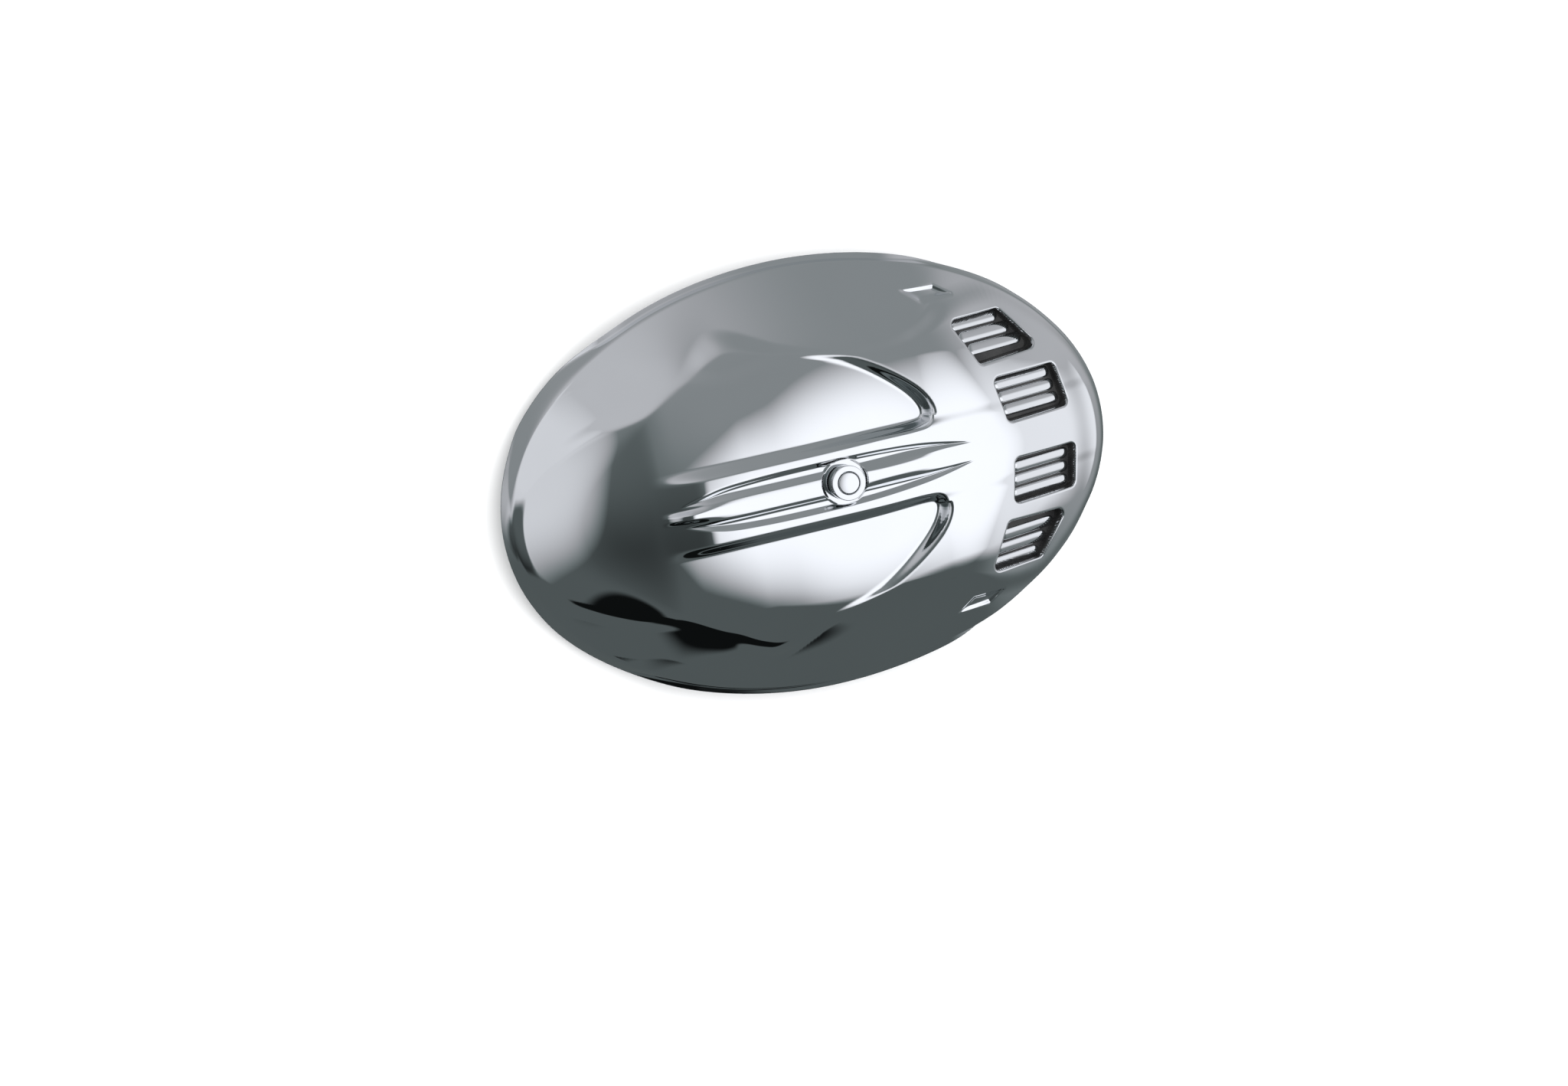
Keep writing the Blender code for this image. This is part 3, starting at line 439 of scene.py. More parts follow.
def cavity_height(x, y):
    """Height of the cover's inner face above its rim, with the backs of the window pockets."""
    y = np.abs(y)
    inward = inward_distance(x, y)
    crown = crown_height(x, y)
    top = skirt_height(x)
    shoulder = top + SHOULDER_SLOPE * (inward - SKIRT_INSET) - 1.5 * WALL
    skirt = (inward - WALL) * top / SKIRT_INSET
    body = soft_min(soft_min(skirt, shoulder, 0.003), crown - 1.1 * WALL, 0.010)
    pad = signed_distance(x, y, spline_outline(PAD_EDGE))
    sink = pad_depth(x) * (1 - ease(pad / 0.0060))
    z = body - sink + 0.7 * spear_rise(x) * (1 - ease((y - 0.0080) / 0.0060))
    for corners in (OUTER_WINDOW, INNER_WINDOW):
        edge = signed_distance(x, y, rounded_outline(corners, POCKET_CORNER))
        back = window_plane(corners)(x, y) - POCKET_DEPTH - 1.1 * WALL
        sunk = soft_max(z - 8 * (0.003 - edge), back, 0.0005)
        z = np.where(edge < 0.003, np.minimum(z, sunk), z)
    return z


def run(*stretches):
    """Values from the first stretch's start on, each stretch given as (end, step) after the start."""
    values = [stretches[0]]
    for end, step in stretches[1:]:
        count = max(1, round(abs(end - values[-1]) / step))
        values += list(np.linspace(values[-1], end, count + 1)[1:])
    return values


def cover_rings(height, half_x, half_y, scales, angles):
    """Points of a dome's rings, from the rim's ellipse to the straight spine of the spear."""
    middle = (SPINE_LEFT + SPINE_RIGHT) / 2
    half_spine = (SPINE_RIGHT - SPINE_LEFT) / 2
    scale = np.array(scales)[:, None]
    x = middle * (1 - scale) + (half_spine + (half_x - half_spine) * scale) * np.cos(angles)[None, :]
    y = half_y * scale * np.sin(angles)[None, :]
    z = height(x, y) + RIM_Z
    return np.stack([x, y, z], axis=2)


def mesh_piece(name, points, faces, material=None, smooth=SHARP_ANGLE):
    """An object from points and faces, shaded smooth; edges over this angle, unless it's 0, stay sharp."""
    mesh = bpy.data.meshes.new(name)
    mesh.from_pydata(points, [], faces)
    piece = bpy.data.objects.new(name, mesh)
    bpy.context.scene.collection.objects.link(piece)
    bm = bmesh.new()
    bm.from_mesh(mesh)
    bmesh.ops.remove_doubles(bm, verts=bm.verts, dist=1e-7)
    bmesh.ops.recalc_face_normals(bm, faces=bm.faces)
    bm.to_mesh(mesh)
    bm.free()
    mesh.shade_smooth()
    if smooth:
        mesh.set_sharp_from_angle(angle=math.radians(smooth))
    if material is not None:
        mesh.materials.append(material)
    return piece


def make_cover(material):
    """The cover as one closed dome: rings of the outer face, and of the inner face below it."""
    coarse = 1.0
    half = run(0.0, (62.0, 0.17 * coarse), (74.0, 0.5 * coarse), (98.0, 0.27 * coarse), (180.0, 0.7 * coarse))
    angles = np.radians(np.array(half + [360.0 - a for a in reversed(half[1:-1])]))
    outer_scales = run(1.0, (0.955, 0.0030 * coarse), (0.20, 0.0044 * coarse), (0.0, 0.0036 * coarse))
    inner_scales = run(1.0, (0.95, 0.0050 * coarse), (0.0, 0.0080 * coarse))
    outer = cover_rings(cover_height, HALF_LENGTH, HALF_WIDTH, outer_scales, angles)
    inner = cover_rings(cavity_height, HALF_LENGTH - WALL, HALF_WIDTH - WALL, inner_scales, angles)
    rings = np.concatenate([outer[::-1], inner], axis=0)
    count = len(angles)
    lower = np.arange((len(rings) - 1) * count).reshape(-1, count)
    across = np.roll(lower, -1, axis=1)
    faces = np.stack([lower, across, across + count, lower + count], axis=2).reshape(-1, 4)
    cover = mesh_piece("cover_shell_chrome", rings.reshape(-1, 3).tolist(), faces.tolist(), material, 0)
    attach(cover, "cover")
    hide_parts("cover_shell")
    return cover


# --- shaping helpers ------------------------------------------------------------------------------

def place_piece(piece, body, node):
    """Lets a piece stand for a node of the frame."""
    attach(piece, body)
    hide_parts(node)
    return piece


def circle(x, y, radius, count=64):
    angles = np.arange(count) * 2 * math.pi / count
    return [(x + radius * math.cos(a), y + radius * math.sin(a)) for a in angles]


def oblong(straight, radius, count=128):
    """Two half circles of this radius, their centres a straight run either side of x = 0."""
    points = []
    for i in range(count):
        angle = 2 * math.pi * (i + 0.5) / count
        shift = straight if math.cos(angle) > 0 else -straight
        points.append((shift + radius * math.cos(angle), radius * math.sin(angle)))
    return points


def inset_loop(points, distance):
    """Moves an anticlockwise loop inwards, each point along its own normal."""
    points = np.array(points)
    ahead = np.roll(points, -1, axis=0) - points
    ahead = ahead / np.linalg.norm(ahead, axis=1)[:, None]
    normal = ahead + np.roll(ahead, 1, axis=0)
    normal = normal / np.linalg.norm(normal, axis=1)[:, None]
    return points + distance * np.stack([-normal[:, 1], normal[:, 0]], axis=1)


def slab_mesh(name, loops, bottom, top, bevel, material, plane=None, steps=4):
    """A flat outline, the first loop, with the others as holes; all its edges are rounded."""
    turns = np.linspace(0, math.pi / 2, steps + 1)
    sections = [(bevel * (1 - math.sin(t)), bottom + bevel * (1 - math.cos(t))) for t in turns]
    sections += [(inset, bottom + top - z) for inset, z in reversed(sections)]
    points = []
    faces = []
    caps = [[], []]
    for k, loop in enumerate(loops):
        side = 1 if k == 0 else -1
        start = len(points)
        count = len(loop)
        for inset, z in sections:
            moved = inset_loop(loop, side * inset)
            points += [(x, y, z) for x, y in moved]
        for row in range(len(sections) - 1):
            for i in range(count):
                a = start + row * count + i
                b = start + row * count + (i + 1) % count
                faces.append((a, b, b + count, a + count))
        last = start + (len(sections) - 1) * count
        caps[0].append(list(range(start, start + count)))
        caps[1].append(list(range(last, last + count)))
    for cap in caps:
        flat = [index for loop in cap for index in loop]
        outline = [[Vector((points[i][0], points[i][1], 0.0)) for i in loop] for loop in cap]
        faces += [tuple(flat[i] for i in triangle) for triangle in tessellate_polygon(outline)]
    if plane is not None:
        points = [(x, y, z + float(plane(x, y))) for x, y, z in points]
    return mesh_piece(name, points, faces, material)


def turned_mesh(name, profile, place, bevel, material, steps=72):
    """Turns a profile of (radius, z) points about an upright axis, its corners rounded.

    A profile that starts and ends on the axis is open there; any other profile is a closed ring.
    """
    solid = profile[0][0] == 0
    arc_steps = 4
    corners = rounded_outline(profile, bevel, arc_steps)
    if solid:
        arc_points = arc_steps + 1
        corners = [profile[0]] + corners[arc_points:-arc_points] + [profile[-1]]
    rows = np.array(corners)
    angles = np.arange(steps) * 2 * math.pi / steps
    x = place[0] + rows[:, 0:1] * np.cos(angles)[None, :]
    y = place[1] + rows[:, 0:1] * np.sin(angles)[None, :]
    z = np.repeat(rows[:, 1:2], steps, axis=1)
    points = np.stack([x, y, z], axis=2).reshape(-1, 3).tolist()
    faces = []
    last = len(rows) - 1 if solid else len(rows)
    for row in range(last):
        for i in range(steps):
            j = (i + 1) % steps
            upper = ((row + 1) % len(rows)) * steps
            faces.append((row * steps + i, row * steps + j, upper + j, upper + i))
    return mesh_piece(name, points, faces, material)


def ring_mesh(name, inner, outer, bottom, top, place, material):
    profile = [(outer, top), (outer, bottom), (inner, bottom), (inner, top)]
    return turned_mesh(name, profile, place, 0.0002, material)


def combine(piece, tools, operation):
    """Applies one Boolean with each of the tools, and removes them."""
    for tool in tools:
        modifier = piece.modifiers.new("Combine", "BOOLEAN")
        modifier.operation = operation
        modifier.solver = "MANIFOLD"
        modifier.object = tool
    bpy.context.view_layer.update()
    evaluated = piece.evaluated_get(bpy.context.evaluated_depsgraph_get())
    mesh = bpy.data.meshes.new_from_object(evaluated)
    piece.modifiers.clear()
    material = piece.data.materials[0] if piece.data.materials else None
    piece.data = mesh
    mesh.materials.clear()
    mesh.materials.append(material)
    mesh.polygons.foreach_set("material_index", np.zeros(len(mesh.polygons), dtype=int))
    for tool in tools:
        bpy.data.objects.remove(tool, do_unlink=True)
    return piece


def shade(piece):
    """Shades a piece smooth again after a Boolean, but for its sharp edges."""
    piece.data.shade_smooth()
    piece.data.set_sharp_from_angle(angle=math.radians(SHARP_ANGLE))


def pin(x, y, radius, bottom, top, steps=48):
    """A plain round bar, as a tool for combine()."""
    profile = [(0, top), (radius, top), (radius, bottom), (0, bottom)]
    return turned_mesh("tool", profile, (x, y), 0.0001, None, steps)


def capsule(left, right, y, radius, squash, lift, plane):
    """A rounded bar along X, lying on a plane; a tool for combine()."""
    around = 32
    turns = np.linspace(0, math.pi / 2, 9)
    stations = [(left + radius * (1 - math.cos(t)), radius * math.sin(t)) for t in turns]
    stations += [(right - radius * (1 - math.cos(t)), radius * math.sin(t)) for t in reversed(turns)]
    points = []
    for x, reach in stations:
        for i in range(around):
            angle = 2 * math.pi * i / around
            py = y + reach * math.cos(angle)
            points.append((x, py, float(plane(x, py)) + lift + squash * reach * math.sin(angle)))
    faces = []
    for row in range(len(stations) - 1):
        for i in range(around):
            a = row * around + i
            b = row * around + (i + 1) % around
            faces.append((a, b, b + around, a + around))
    return mesh_piece("tool", points, faces)


# --- the cover's other pieces ---------------------------------------------------------------------

def window_outline(corners, side, growth, radius, slot=0.0):
    """A window's rounded outline, grown on every side; the slot shortens it at its right end."""
    outline = rounded_outline(offset_outline(corners, (growth, growth - slot, growth, growth)), radius, 6)
    if side > 0:
        return outline
    return [(x, -y) for x, y in reversed(outline)]


def side_at(a, b, y):
    """Where the side from a to b crosses this y."""
    return a[0] + (b[0] - a[0]) * (y - a[1]) / (b[1] - a[1])


def stud_places(corners, side):
    middle = np.mean(np.array(corners), axis=0)
    return [(middle[0] + shift, side * middle[1]) for shift in (-STUD_SPREAD, STUD_SPREAD)]


def raised_plane(corners):
    """The window's sloping plane in the row frame."""
    plane = window_plane(corners)
    return lambda x, y: plane(x, y) + RIM_Z


def make_louvre_insert(index, corners, side, shift, material, black_paint_and_shade):
    """A small plate with three bright ribs on a black ground, which is painted shade, held in its pocket by
    two studs.
    """
    plane = raised_plane(corners)
    base = GAP - POCKET_DEPTH
    top = base + INSERT_THICKNESS
    outline = window_outline(corners, side, -INSERT_GAP, INSERT_CORNER, INSERT_SLOT)
    insert = slab_mesh(f"louvre_insert_{index}_chrome", [outline], base, top, INSERT_BEVEL, material, plane)
    middle_y = float(np.mean([corner[1] for corner in corners]))
    tools = []
    for i in range(RIBS):
        y = middle_y + shift + (i - 1) * RIB_PITCH
        left = side_at(corners[3], corners[0], y) + RIB_START - RIB_RADIUS
        right = side_at(corners[1], corners[2], y) - RIB_END
        tools.append(capsule(left, right, side * y, RIB_RADIUS, RIB_SQUASH, top, plane))
    for x, y in stud_places(corners, side):
        height = float(plane(x, y)) + base
        tools.append(pin(x, y, STUD_RADIUS, height - STUD_LENGTH, height + 0.001, 24))
    combine(insert, tools, "UNION")
    shade(insert)
    ground = window_plane(corners)
    # The ground around and between the ribs gets black painted shade, standing in for the dark crevices.
    paint_shade_on_faces(insert, black_paint_and_shade, lambda px, py, pz: pz < ground(px, py) + top + GROUND_EDGE)
    return place_piece(insert, "cover", f"louvre_insert_{index}")


def make_push_nuts(first, corners, side, material):
    """A round spring-steel nut, with slit fingers, on each of an insert's studs."""
    plane = raised_plane(corners)
    top = -POCKET_DEPTH - 1.1 * WALL - GAP
    for index, (x, y) in enumerate(stud_places(corners, side), start=first):
        fingers = []
        for i in range(NUT_CORNERS):
            angle = 2 * math.pi * (i + 0.5) / NUT_CORNERS
            reach = NUT_SLIT_REACH if i % 8 == 0 else STUD_RADIUS + GAP
            fingers.append((x + reach * math.cos(angle), y + reach * math.sin(angle)))
        loops = [circle(x, y, NUT_RADIUS, NUT_CORNERS), fingers]
        name = f"louvre_push_nut_{index}_steel"
        nut = slab_mesh(name, loops, top - NUT_THICKNESS, top, 0.00015, material, plane, 2)
        place_piece(nut, "cover", f"louvre_push_nut_{index}")


def pierce_cover(cover):
    """Adds the cover's screw boss and locating pegs, and cuts its screw hole and stud holes."""
    bosses = [pin(0, 0, BOSS_RADIUS, BOSS_BOTTOM, BOSS_TOP)]
    bosses += [pin(x, 0, PEG_RADIUS, PEG_BOTTOM, PEG_TOP) for x in (-PEG_X, PEG_X)]
    combine(cover, bosses, "UNION")
    seat = RIM_Z + SEAT_HEIGHT
    holes = [pin(0, 0, SCREW_RADIUS + SCREW_CLEARANCE, BORE_BOTTOM, seat + 0.003)]
    holes.append(pin(0, 0, RING_BORE_RADIUS, BORE_BOTTOM, RING_BORE_TOP))
    for corners in (OUTER_WINDOW, INNER_WINDOW):
        plane = raised_plane(corners)
        for side in (1, -1):
            for x, y in stud_places(corners, side):
                height = float(plane(x, y))
                holes.append(pin(x, y, STUD_RADIUS + GAP, height - 0.015, height, 24))
    combine(cover, holes, "DIFFERENCE")


def paint_shade_on_faces(piece, black_paint_and_shade, chosen):
    """Gives black painted shade to the faces whose centres, as heights above the rim's plane, are chosen."""
    mesh = piece.data
    centres = np.zeros(len(mesh.polygons) * 3)
    mesh.polygons.foreach_get("center", centres)
    x, y, z = centres.reshape(-1, 3).T
    mesh.materials.append(black_paint_and_shade)
    mesh.polygons.foreach_set("material_index", chosen(x, np.abs(y), z - RIM_Z).astype(int))


def in_pocket(x, y, z):
    """Whether points lie on the wall or floor of a window pocket, which gets black painted shade."""
    found = np.zeros(x.shape, dtype=bool)
    for corners in (OUTER_WINDOW, INNER_WINDOW):
        depth = window_plane(corners)(x, y) - z
        inside = signed_distance(x, y, rounded_outline(corners, POCKET_CORNER)) < -SHADE_PAINT_INSET
        found |= inside & (depth > SHADE_PAINT_INSET) & (depth < POCKET_DEPTH + SHADE_PAINT_INSET)
    return found


def make_screw(chrome, rubber, spring):
    """The captive cover screw with its dress cap, washer and retaining ring."""
    screw = turned_mesh("cover_screw_chrome", SCREW_PROFILE, (0, 0), 0.00025, chrome)
    place_piece(screw, "screw", "cover_screw")
    cap = turned_mesh("screw_dress_cap_chrome", DRESS_CAP_PROFILE, (0, 0), 0.0003, chrome)
    place_piece(cap, "screw", "screw_dress_cap")
    washer = ring_mesh("screw_washer_rubber", 0.0034, 0.0062, WASHER_BOTTOM, WASHER_TOP, (0, 0), rubber)
    place_piece(washer, "washer", "screw_washer")
    ring = ring_mesh("screw_retaining_ring_steel", 0.0026, 0.0046, RING_BOTTOM, RING_TOP, (0, 0), spring)
    place_piece(ring, "screw", "screw_retaining_ring")


# --- bracket, filter and backing plate ------------------------------------------------------------

def make_bracket(steel, brass, rubber):
    """The plate that holds the cover, with its threaded insert and the grommets for the cover's pegs."""
    holes = [circle(0, 0, BRACKET_CENTRE_HOLE)]
    holes += [circle(x, 0, BRACKET_PEG_HOLE) for x in (-PEG_X, PEG_X)]
    holes += [circle(x, y, BRACKET_SCREW_HOLE) for x, y in FILTER_SCREWS]
    loops = [oblong(BRACKET_STRAIGHT, BRACKET_RADIUS)] + holes
    bracket = slab_mesh("mounting_bracket_steel", loops, BRACKET_BASE, BRACKET_TOP, 0.0005, steel)
    place_piece(bracket, "base", "mounting_bracket")
    insert = turned_mesh("bracket_insert_brass", BRACKET_INSERT_PROFILE, (0, 0), 0.0002, brass)
    place_piece(insert, "base", "bracket_insert")
    for end, x in (("left", -PEG_X), ("right", PEG_X)):
        grommet = turned_mesh(f"locating_grommet_{end}_rubber", GROMMET_PROFILE, (x, 0), 0.0004, rubber)
        place_piece(grommet, "base", f"locating_grommet_{end}")


def socket_screw(name, profile, place, socket, material):
    """A round-headed screw with a hexagon socket in its head."""
    screw = turned_mesh(name, profile, place, 0.0004, material, 48)
    top = profile[0][1]
    recess = slab_mesh("tool", [circle(*place, socket, 6)], top - SOCKET_DEPTH, top + 0.001, 0.0001, None)
    combine(screw, [recess], "DIFFERENCE")
    shade(screw)
    return screw


def pleats(outer, inner, thickness, count):
    """The outlines of a folded sheet that runs round an oblong ring, outer side and inner side."""
    outside = []
    inside = []
    phases = ((0.0, outer, 0.16), (0.5, inner + thickness, 0.07))
    for i in range(count):
        for phase, reach, width in phases:
            spread = thickness / reach * 0.8 * (1 if phase == 0 else -1)
            for end in (-1, 1):
                turn = 2 * math.pi * (i + phase + end * width) / count
                outside.append(oblong_point(turn, reach))
                inside.append(oblong_point(turn - end * spread, reach - thickness))
    return [outside, inside]


def oblong_point(turn, reach):
    """A point of an oblong ring, with turn from 0 to 2 pi running evenly along its length."""
    middle = 0.5 * (FILTER_OUTER + FILTER_INNER)
    length = 2 * math.pi * middle + 4 * FILTER_STRAIGHT
    along = (turn / (2 * math.pi) % 1.0) * length
    for centre, start in ((FILTER_STRAIGHT, -math.pi / 2), (-FILTER_STRAIGHT, math.pi / 2)):
        if along < math.pi * middle:
            angle = start + along / middle
            return (centre + reach * math.cos(angle), reach * math.sin(angle))
        along -= math.pi * middle
        if along < 2 * FILTER_STRAIGHT:
            sign = 1 if centre > 0 else -1
            return (sign * (FILTER_STRAIGHT - along), sign * reach)
        along -= 2 * FILTER_STRAIGHT
    return (FILTER_STRAIGHT, -reach)


def wire_mesh(name, outer, inner, bottom, top, material):
    """A square-holed gauze round the filter, each hole with its own four walls."""
    middle = (outer + inner) / 2
    bulge = (outer - inner) / 2
    points = []
    faces = []

    def add_points(around, up, depth):
        turn = 2 * math.pi * around / WIRES_AROUND
        z = bottom + (top - bottom) * up / WIRES_UP
        for reach in (middle + depth, middle - depth):
            points.append((*oblong_point(turn, reach), z))

    for row in range(WIRES_UP + 1):
        for i in range(WIRES_AROUND):
            add_points(i, row, bulge)
    for row in range(WIRES_UP):
        for i in range(WIRES_AROUND):
            j = (i + 1) % WIRES_AROUND
            low = row * WIRES_AROUND
            high = (row + 1) * WIRES_AROUND
            corners = [(low + i) * 2, (low + j) * 2, (high + j) * 2, (high + i) * 2]
            start = len(points)
            for across, rise in ((-1, -1), (1, -1), (1, 1), (-1, 1)):
                add_points(i + 0.5 + across * MESH_HOLE, row + 0.5 + rise * MESH_HOLE, bulge * 0.6)
            for k in range(4):
                m = (k + 1) % 4
                faces.append((corners[k], corners[m], start + 2 * m, start + 2 * k))
                faces.append((corners[m] + 1, corners[k] + 1, start + 2 * k + 1, start + 2 * m + 1))
                faces.append((start + 2 * k, start + 2 * m, start + 2 * m + 1, start + 2 * k + 1))
    for row in (0, WIRES_UP):
        for i in range(WIRES_AROUND):
            a = (row * WIRES_AROUND + i) * 2
            b = (row * WIRES_AROUND + (i + 1) % WIRES_AROUND) * 2
            faces.append((a, a + 1, b + 1, b))
    return mesh_piece(name, points, faces, material)


def make_filter(wire, gauze, rubber, black_paint_and_shade, steel):
    """The filter element: two wire meshes, pleated gauze between them, a painted cap and a rubber base."""
    reach = FILTER_OUTER - MESH_THICKNESS
    outer = wire_mesh("filter_outer_mesh_wire", FILTER_OUTER, reach, MEDIA_BASE, MEDIA_TOP, wire)
    place_piece(outer, "base", "filter_outer_mesh")
    reach = FILTER_INNER + MESH_THICKNESS
    inner = wire_mesh("filter_inner_mesh_wire", reach, FILTER_INNER, MEDIA_BASE, MEDIA_TOP, wire)
    place_piece(inner, "base", "filter_inner_mesh")
    loops = pleats(MEDIA_OUTER, MEDIA_INNER, MEDIA_THICKNESS, MEDIA_PLEATS)
    media = slab_mesh("filter_media_gauze", loops, MEDIA_BASE, MEDIA_TOP, 0.0002, gauze, None, 2)
    place_piece(media, "base", "filter_media")
    loops = [oblong(FILTER_STRAIGHT, FILTER_OUTER), circle(0, 0, CAP_CENTRE_HOLE)]
    loops += [circle(x, y, CAP_SCREW_HOLE) for x, y in FILTER_SCREWS]
    cap = slab_mesh("filter_top_cap_painted", loops, CAP_BASE, CAP_TOP, 0.0007, black_paint_and_shade)
    place_piece(cap, "base", "filter_top_cap")
    loops = [oblong(FILTER_STRAIGHT, FILTER_OUTER), oblong(FILTER_STRAIGHT, FILTER_INNER)]
    seal = slab_mesh("filter_base_seal_rubber", loops, SEAL_BASE, SEAL_TOP, 0.0006, rubber)
    place_piece(seal, "base", "filter_base_seal")
    for index, place in enumerate(FILTER_SCREWS, start=1):
        screw = socket_screw(f"filter_screw_{index}_zinc", FILTER_SCREW_PROFILE, place, FILTER_SOCKET, steel)
        place_piece(screw, "base", f"filter_screw_{index}")


def make_backing_plate(material):
    """The oval plate with its intake and breather bosses, standoffs and holes."""
    angles = np.arange(240) * 2 * math.pi / 240
    x = (HALF_LENGTH - PLATE_INSET) * np.cos(angles)
    y = (HALF_WIDTH - PLATE_INSET) * np.sin(angles)
    plate = slab_mesh("backing_plate_cast", [list(zip(x, y))], PLATE_REAR, PLATE_FRONT, 0.0006, material)
    bosses = [pin(0, 0, INTAKE_FLANGE_RADIUS, FLANGE_REAR, PLATE_MIDDLE, 96)]
    bosses += [pin(x, 0, BREATHER_BOSS_RADIUS, FLANGE_REAR, PLATE_MIDDLE) for x in (-BREATHER_X, BREATHER_X)]
    bosses += [pin(x, y, STANDOFF_RADIUS, PLATE_MIDDLE, STANDOFF_TOP) for x, y in FILTER_SCREWS]
    combine(plate, bosses, "UNION")
    holes = [pin(0, 0, INTAKE_RADIUS, BELOW_PLATE, ABOVE_PLATE, 96)]
    holes += [pin(x, 0, BREATHER_HOLE_RADIUS, BELOW_PLATE, ABOVE_PLATE) for x in (-BREATHER_X, BREATHER_X)]
    holes += [pin(x, y, STANDOFF_HOLE_RADIUS, STANDOFF_HOLE_BOTTOM, ABOVE_HEADS) for x, y in FILTER_SCREWS]
    holes += [pin(x, y, INTAKE_SCREW_HOLE, BELOW_PLATE, ABOVE_PLATE) for x, y in INTAKE_SCREWS]
    combine(plate, holes, "DIFFERENCE")
    shade(plate)
    place_piece(plate, "base", "backing_plate")


def make_intake(aluminium, steel, paper):
    """The velocity stack, the screws that hold it to the throttle body, and the gasket behind the plate."""
    stack = turned_mesh("velocity_stack_cast", STACK_PROFILE, (0, 0), 0.0003, aluminium, 128)
    holes = [pin(x, y, INTAKE_SCREW_HOLE, PLATE_REAR, ABOVE_PLATE) for x, y in INTAKE_SCREWS]
    combine(stack, holes, "DIFFERENCE")
    shade(stack)
    place_piece(stack, "base", "velocity_stack")
    for index, place in enumerate(INTAKE_SCREWS, start=1):
        screw = socket_screw(f"intake_screw_{index}_zinc", INTAKE_SCREW_PROFILE, place, INTAKE_SOCKET, steel)
        place_piece(screw, "base", f"intake_screw_{index}")
    loops = [circle(0, 0, INTAKE_FLANGE_RADIUS), circle(0, 0, INTAKE_RADIUS)]
    loops += [circle(x, y, INTAKE_SCREW_HOLE) for x, y in INTAKE_SCREWS]
    gasket = slab_mesh("intake_gasket_fibre", loops, GASKET_REAR, GASKET_FRONT, 0.0002, paper)
    place_piece(gasket, "base", "intake_gasket")


def make_breather(end, x, steel, rubber):
    """A hollow bolt with a hexagon head, its washer and its seal."""
    head = [circle(x, 0, BOLT_HEAD_RADIUS, 6)]
    bolt = slab_mesh(f"breather_bolt_{end}_zinc", head, BOLT_HEAD_BOTTOM, BOLT_HEAD_TOP, 0.0005, steel)
    combine(bolt, [pin(x, 0, BOLT_RADIUS, 0.0, BOLT_SHANK_TOP)], "UNION")
    combine(bolt, [pin(x, 0, BOLT_BORE_RADIUS, -0.001, ABOVE_HEADS)], "DIFFERENCE")
    shade(bolt)
    place_piece(bolt, "base", f"breather_bolt_{end}")
    washer = ring_mesh(f"breather_washer_{end}_zinc", BREATHER_HOLE_RADIUS, BOLT_HEAD_RADIUS,
                       BOLT_WASHER_BOTTOM, BOLT_WASHER_TOP, (x, 0), steel)
    place_piece(washer, "base", f"breather_washer_{end}")
    seal = ring_mesh(f"breather_seal_{end}_rubber", BREATHER_HOLE_RADIUS, BREATHER_SEAL_RADIUS, GASKET_REAR,
                     GASKET_FRONT, (x, 0), rubber)
    place_piece(seal, "base", f"breather_seal_{end}")


# --- materials ------------------------------------------------------------------------------------

def new_material(name, colour, metallic, roughness):
    """A material with its node tree and its Principled shader."""
    material = bpy.data.materials.new(name)
    material.use_nodes = True
    shader = material.node_tree.nodes["Principled BSDF"]
    shader.inputs["Base Color"].default_value = (*colour, 1.0)
    shader.inputs["Metallic"].default_value = metallic
    shader.inputs["Roughness"].default_value = roughness
    return material, material.node_tree, shader


def math_node(tree, operation, *values):
    """A maths node on numbers or sockets; gives its output socket."""
    node = tree.nodes.new("ShaderNodeMath")
    node.operation = operation
    for socket, value in zip(node.inputs, values):
        if isinstance(value, (int, float)):
            socket.default_value = value
        else:
            tree.links.new(value, socket)
    return node.outputs[0]


def smooth_step(tree, value, low, high, start=0.0, end=1.0):
    """A node that eases from start to end as the value goes from low to high; gives its output socket."""
    node = tree.nodes.new("ShaderNodeMapRange")
    node.interpolation_type = "SMOOTHSTEP"
    tree.links.new(value, node.inputs["Value"])
    node.inputs["From Min"].default_value = low
    node.inputs["From Max"].default_value = high
    node.inputs["To Min"].default_value = start
    node.inputs["To Max"].default_value = end
    return node.outputs["Result"]


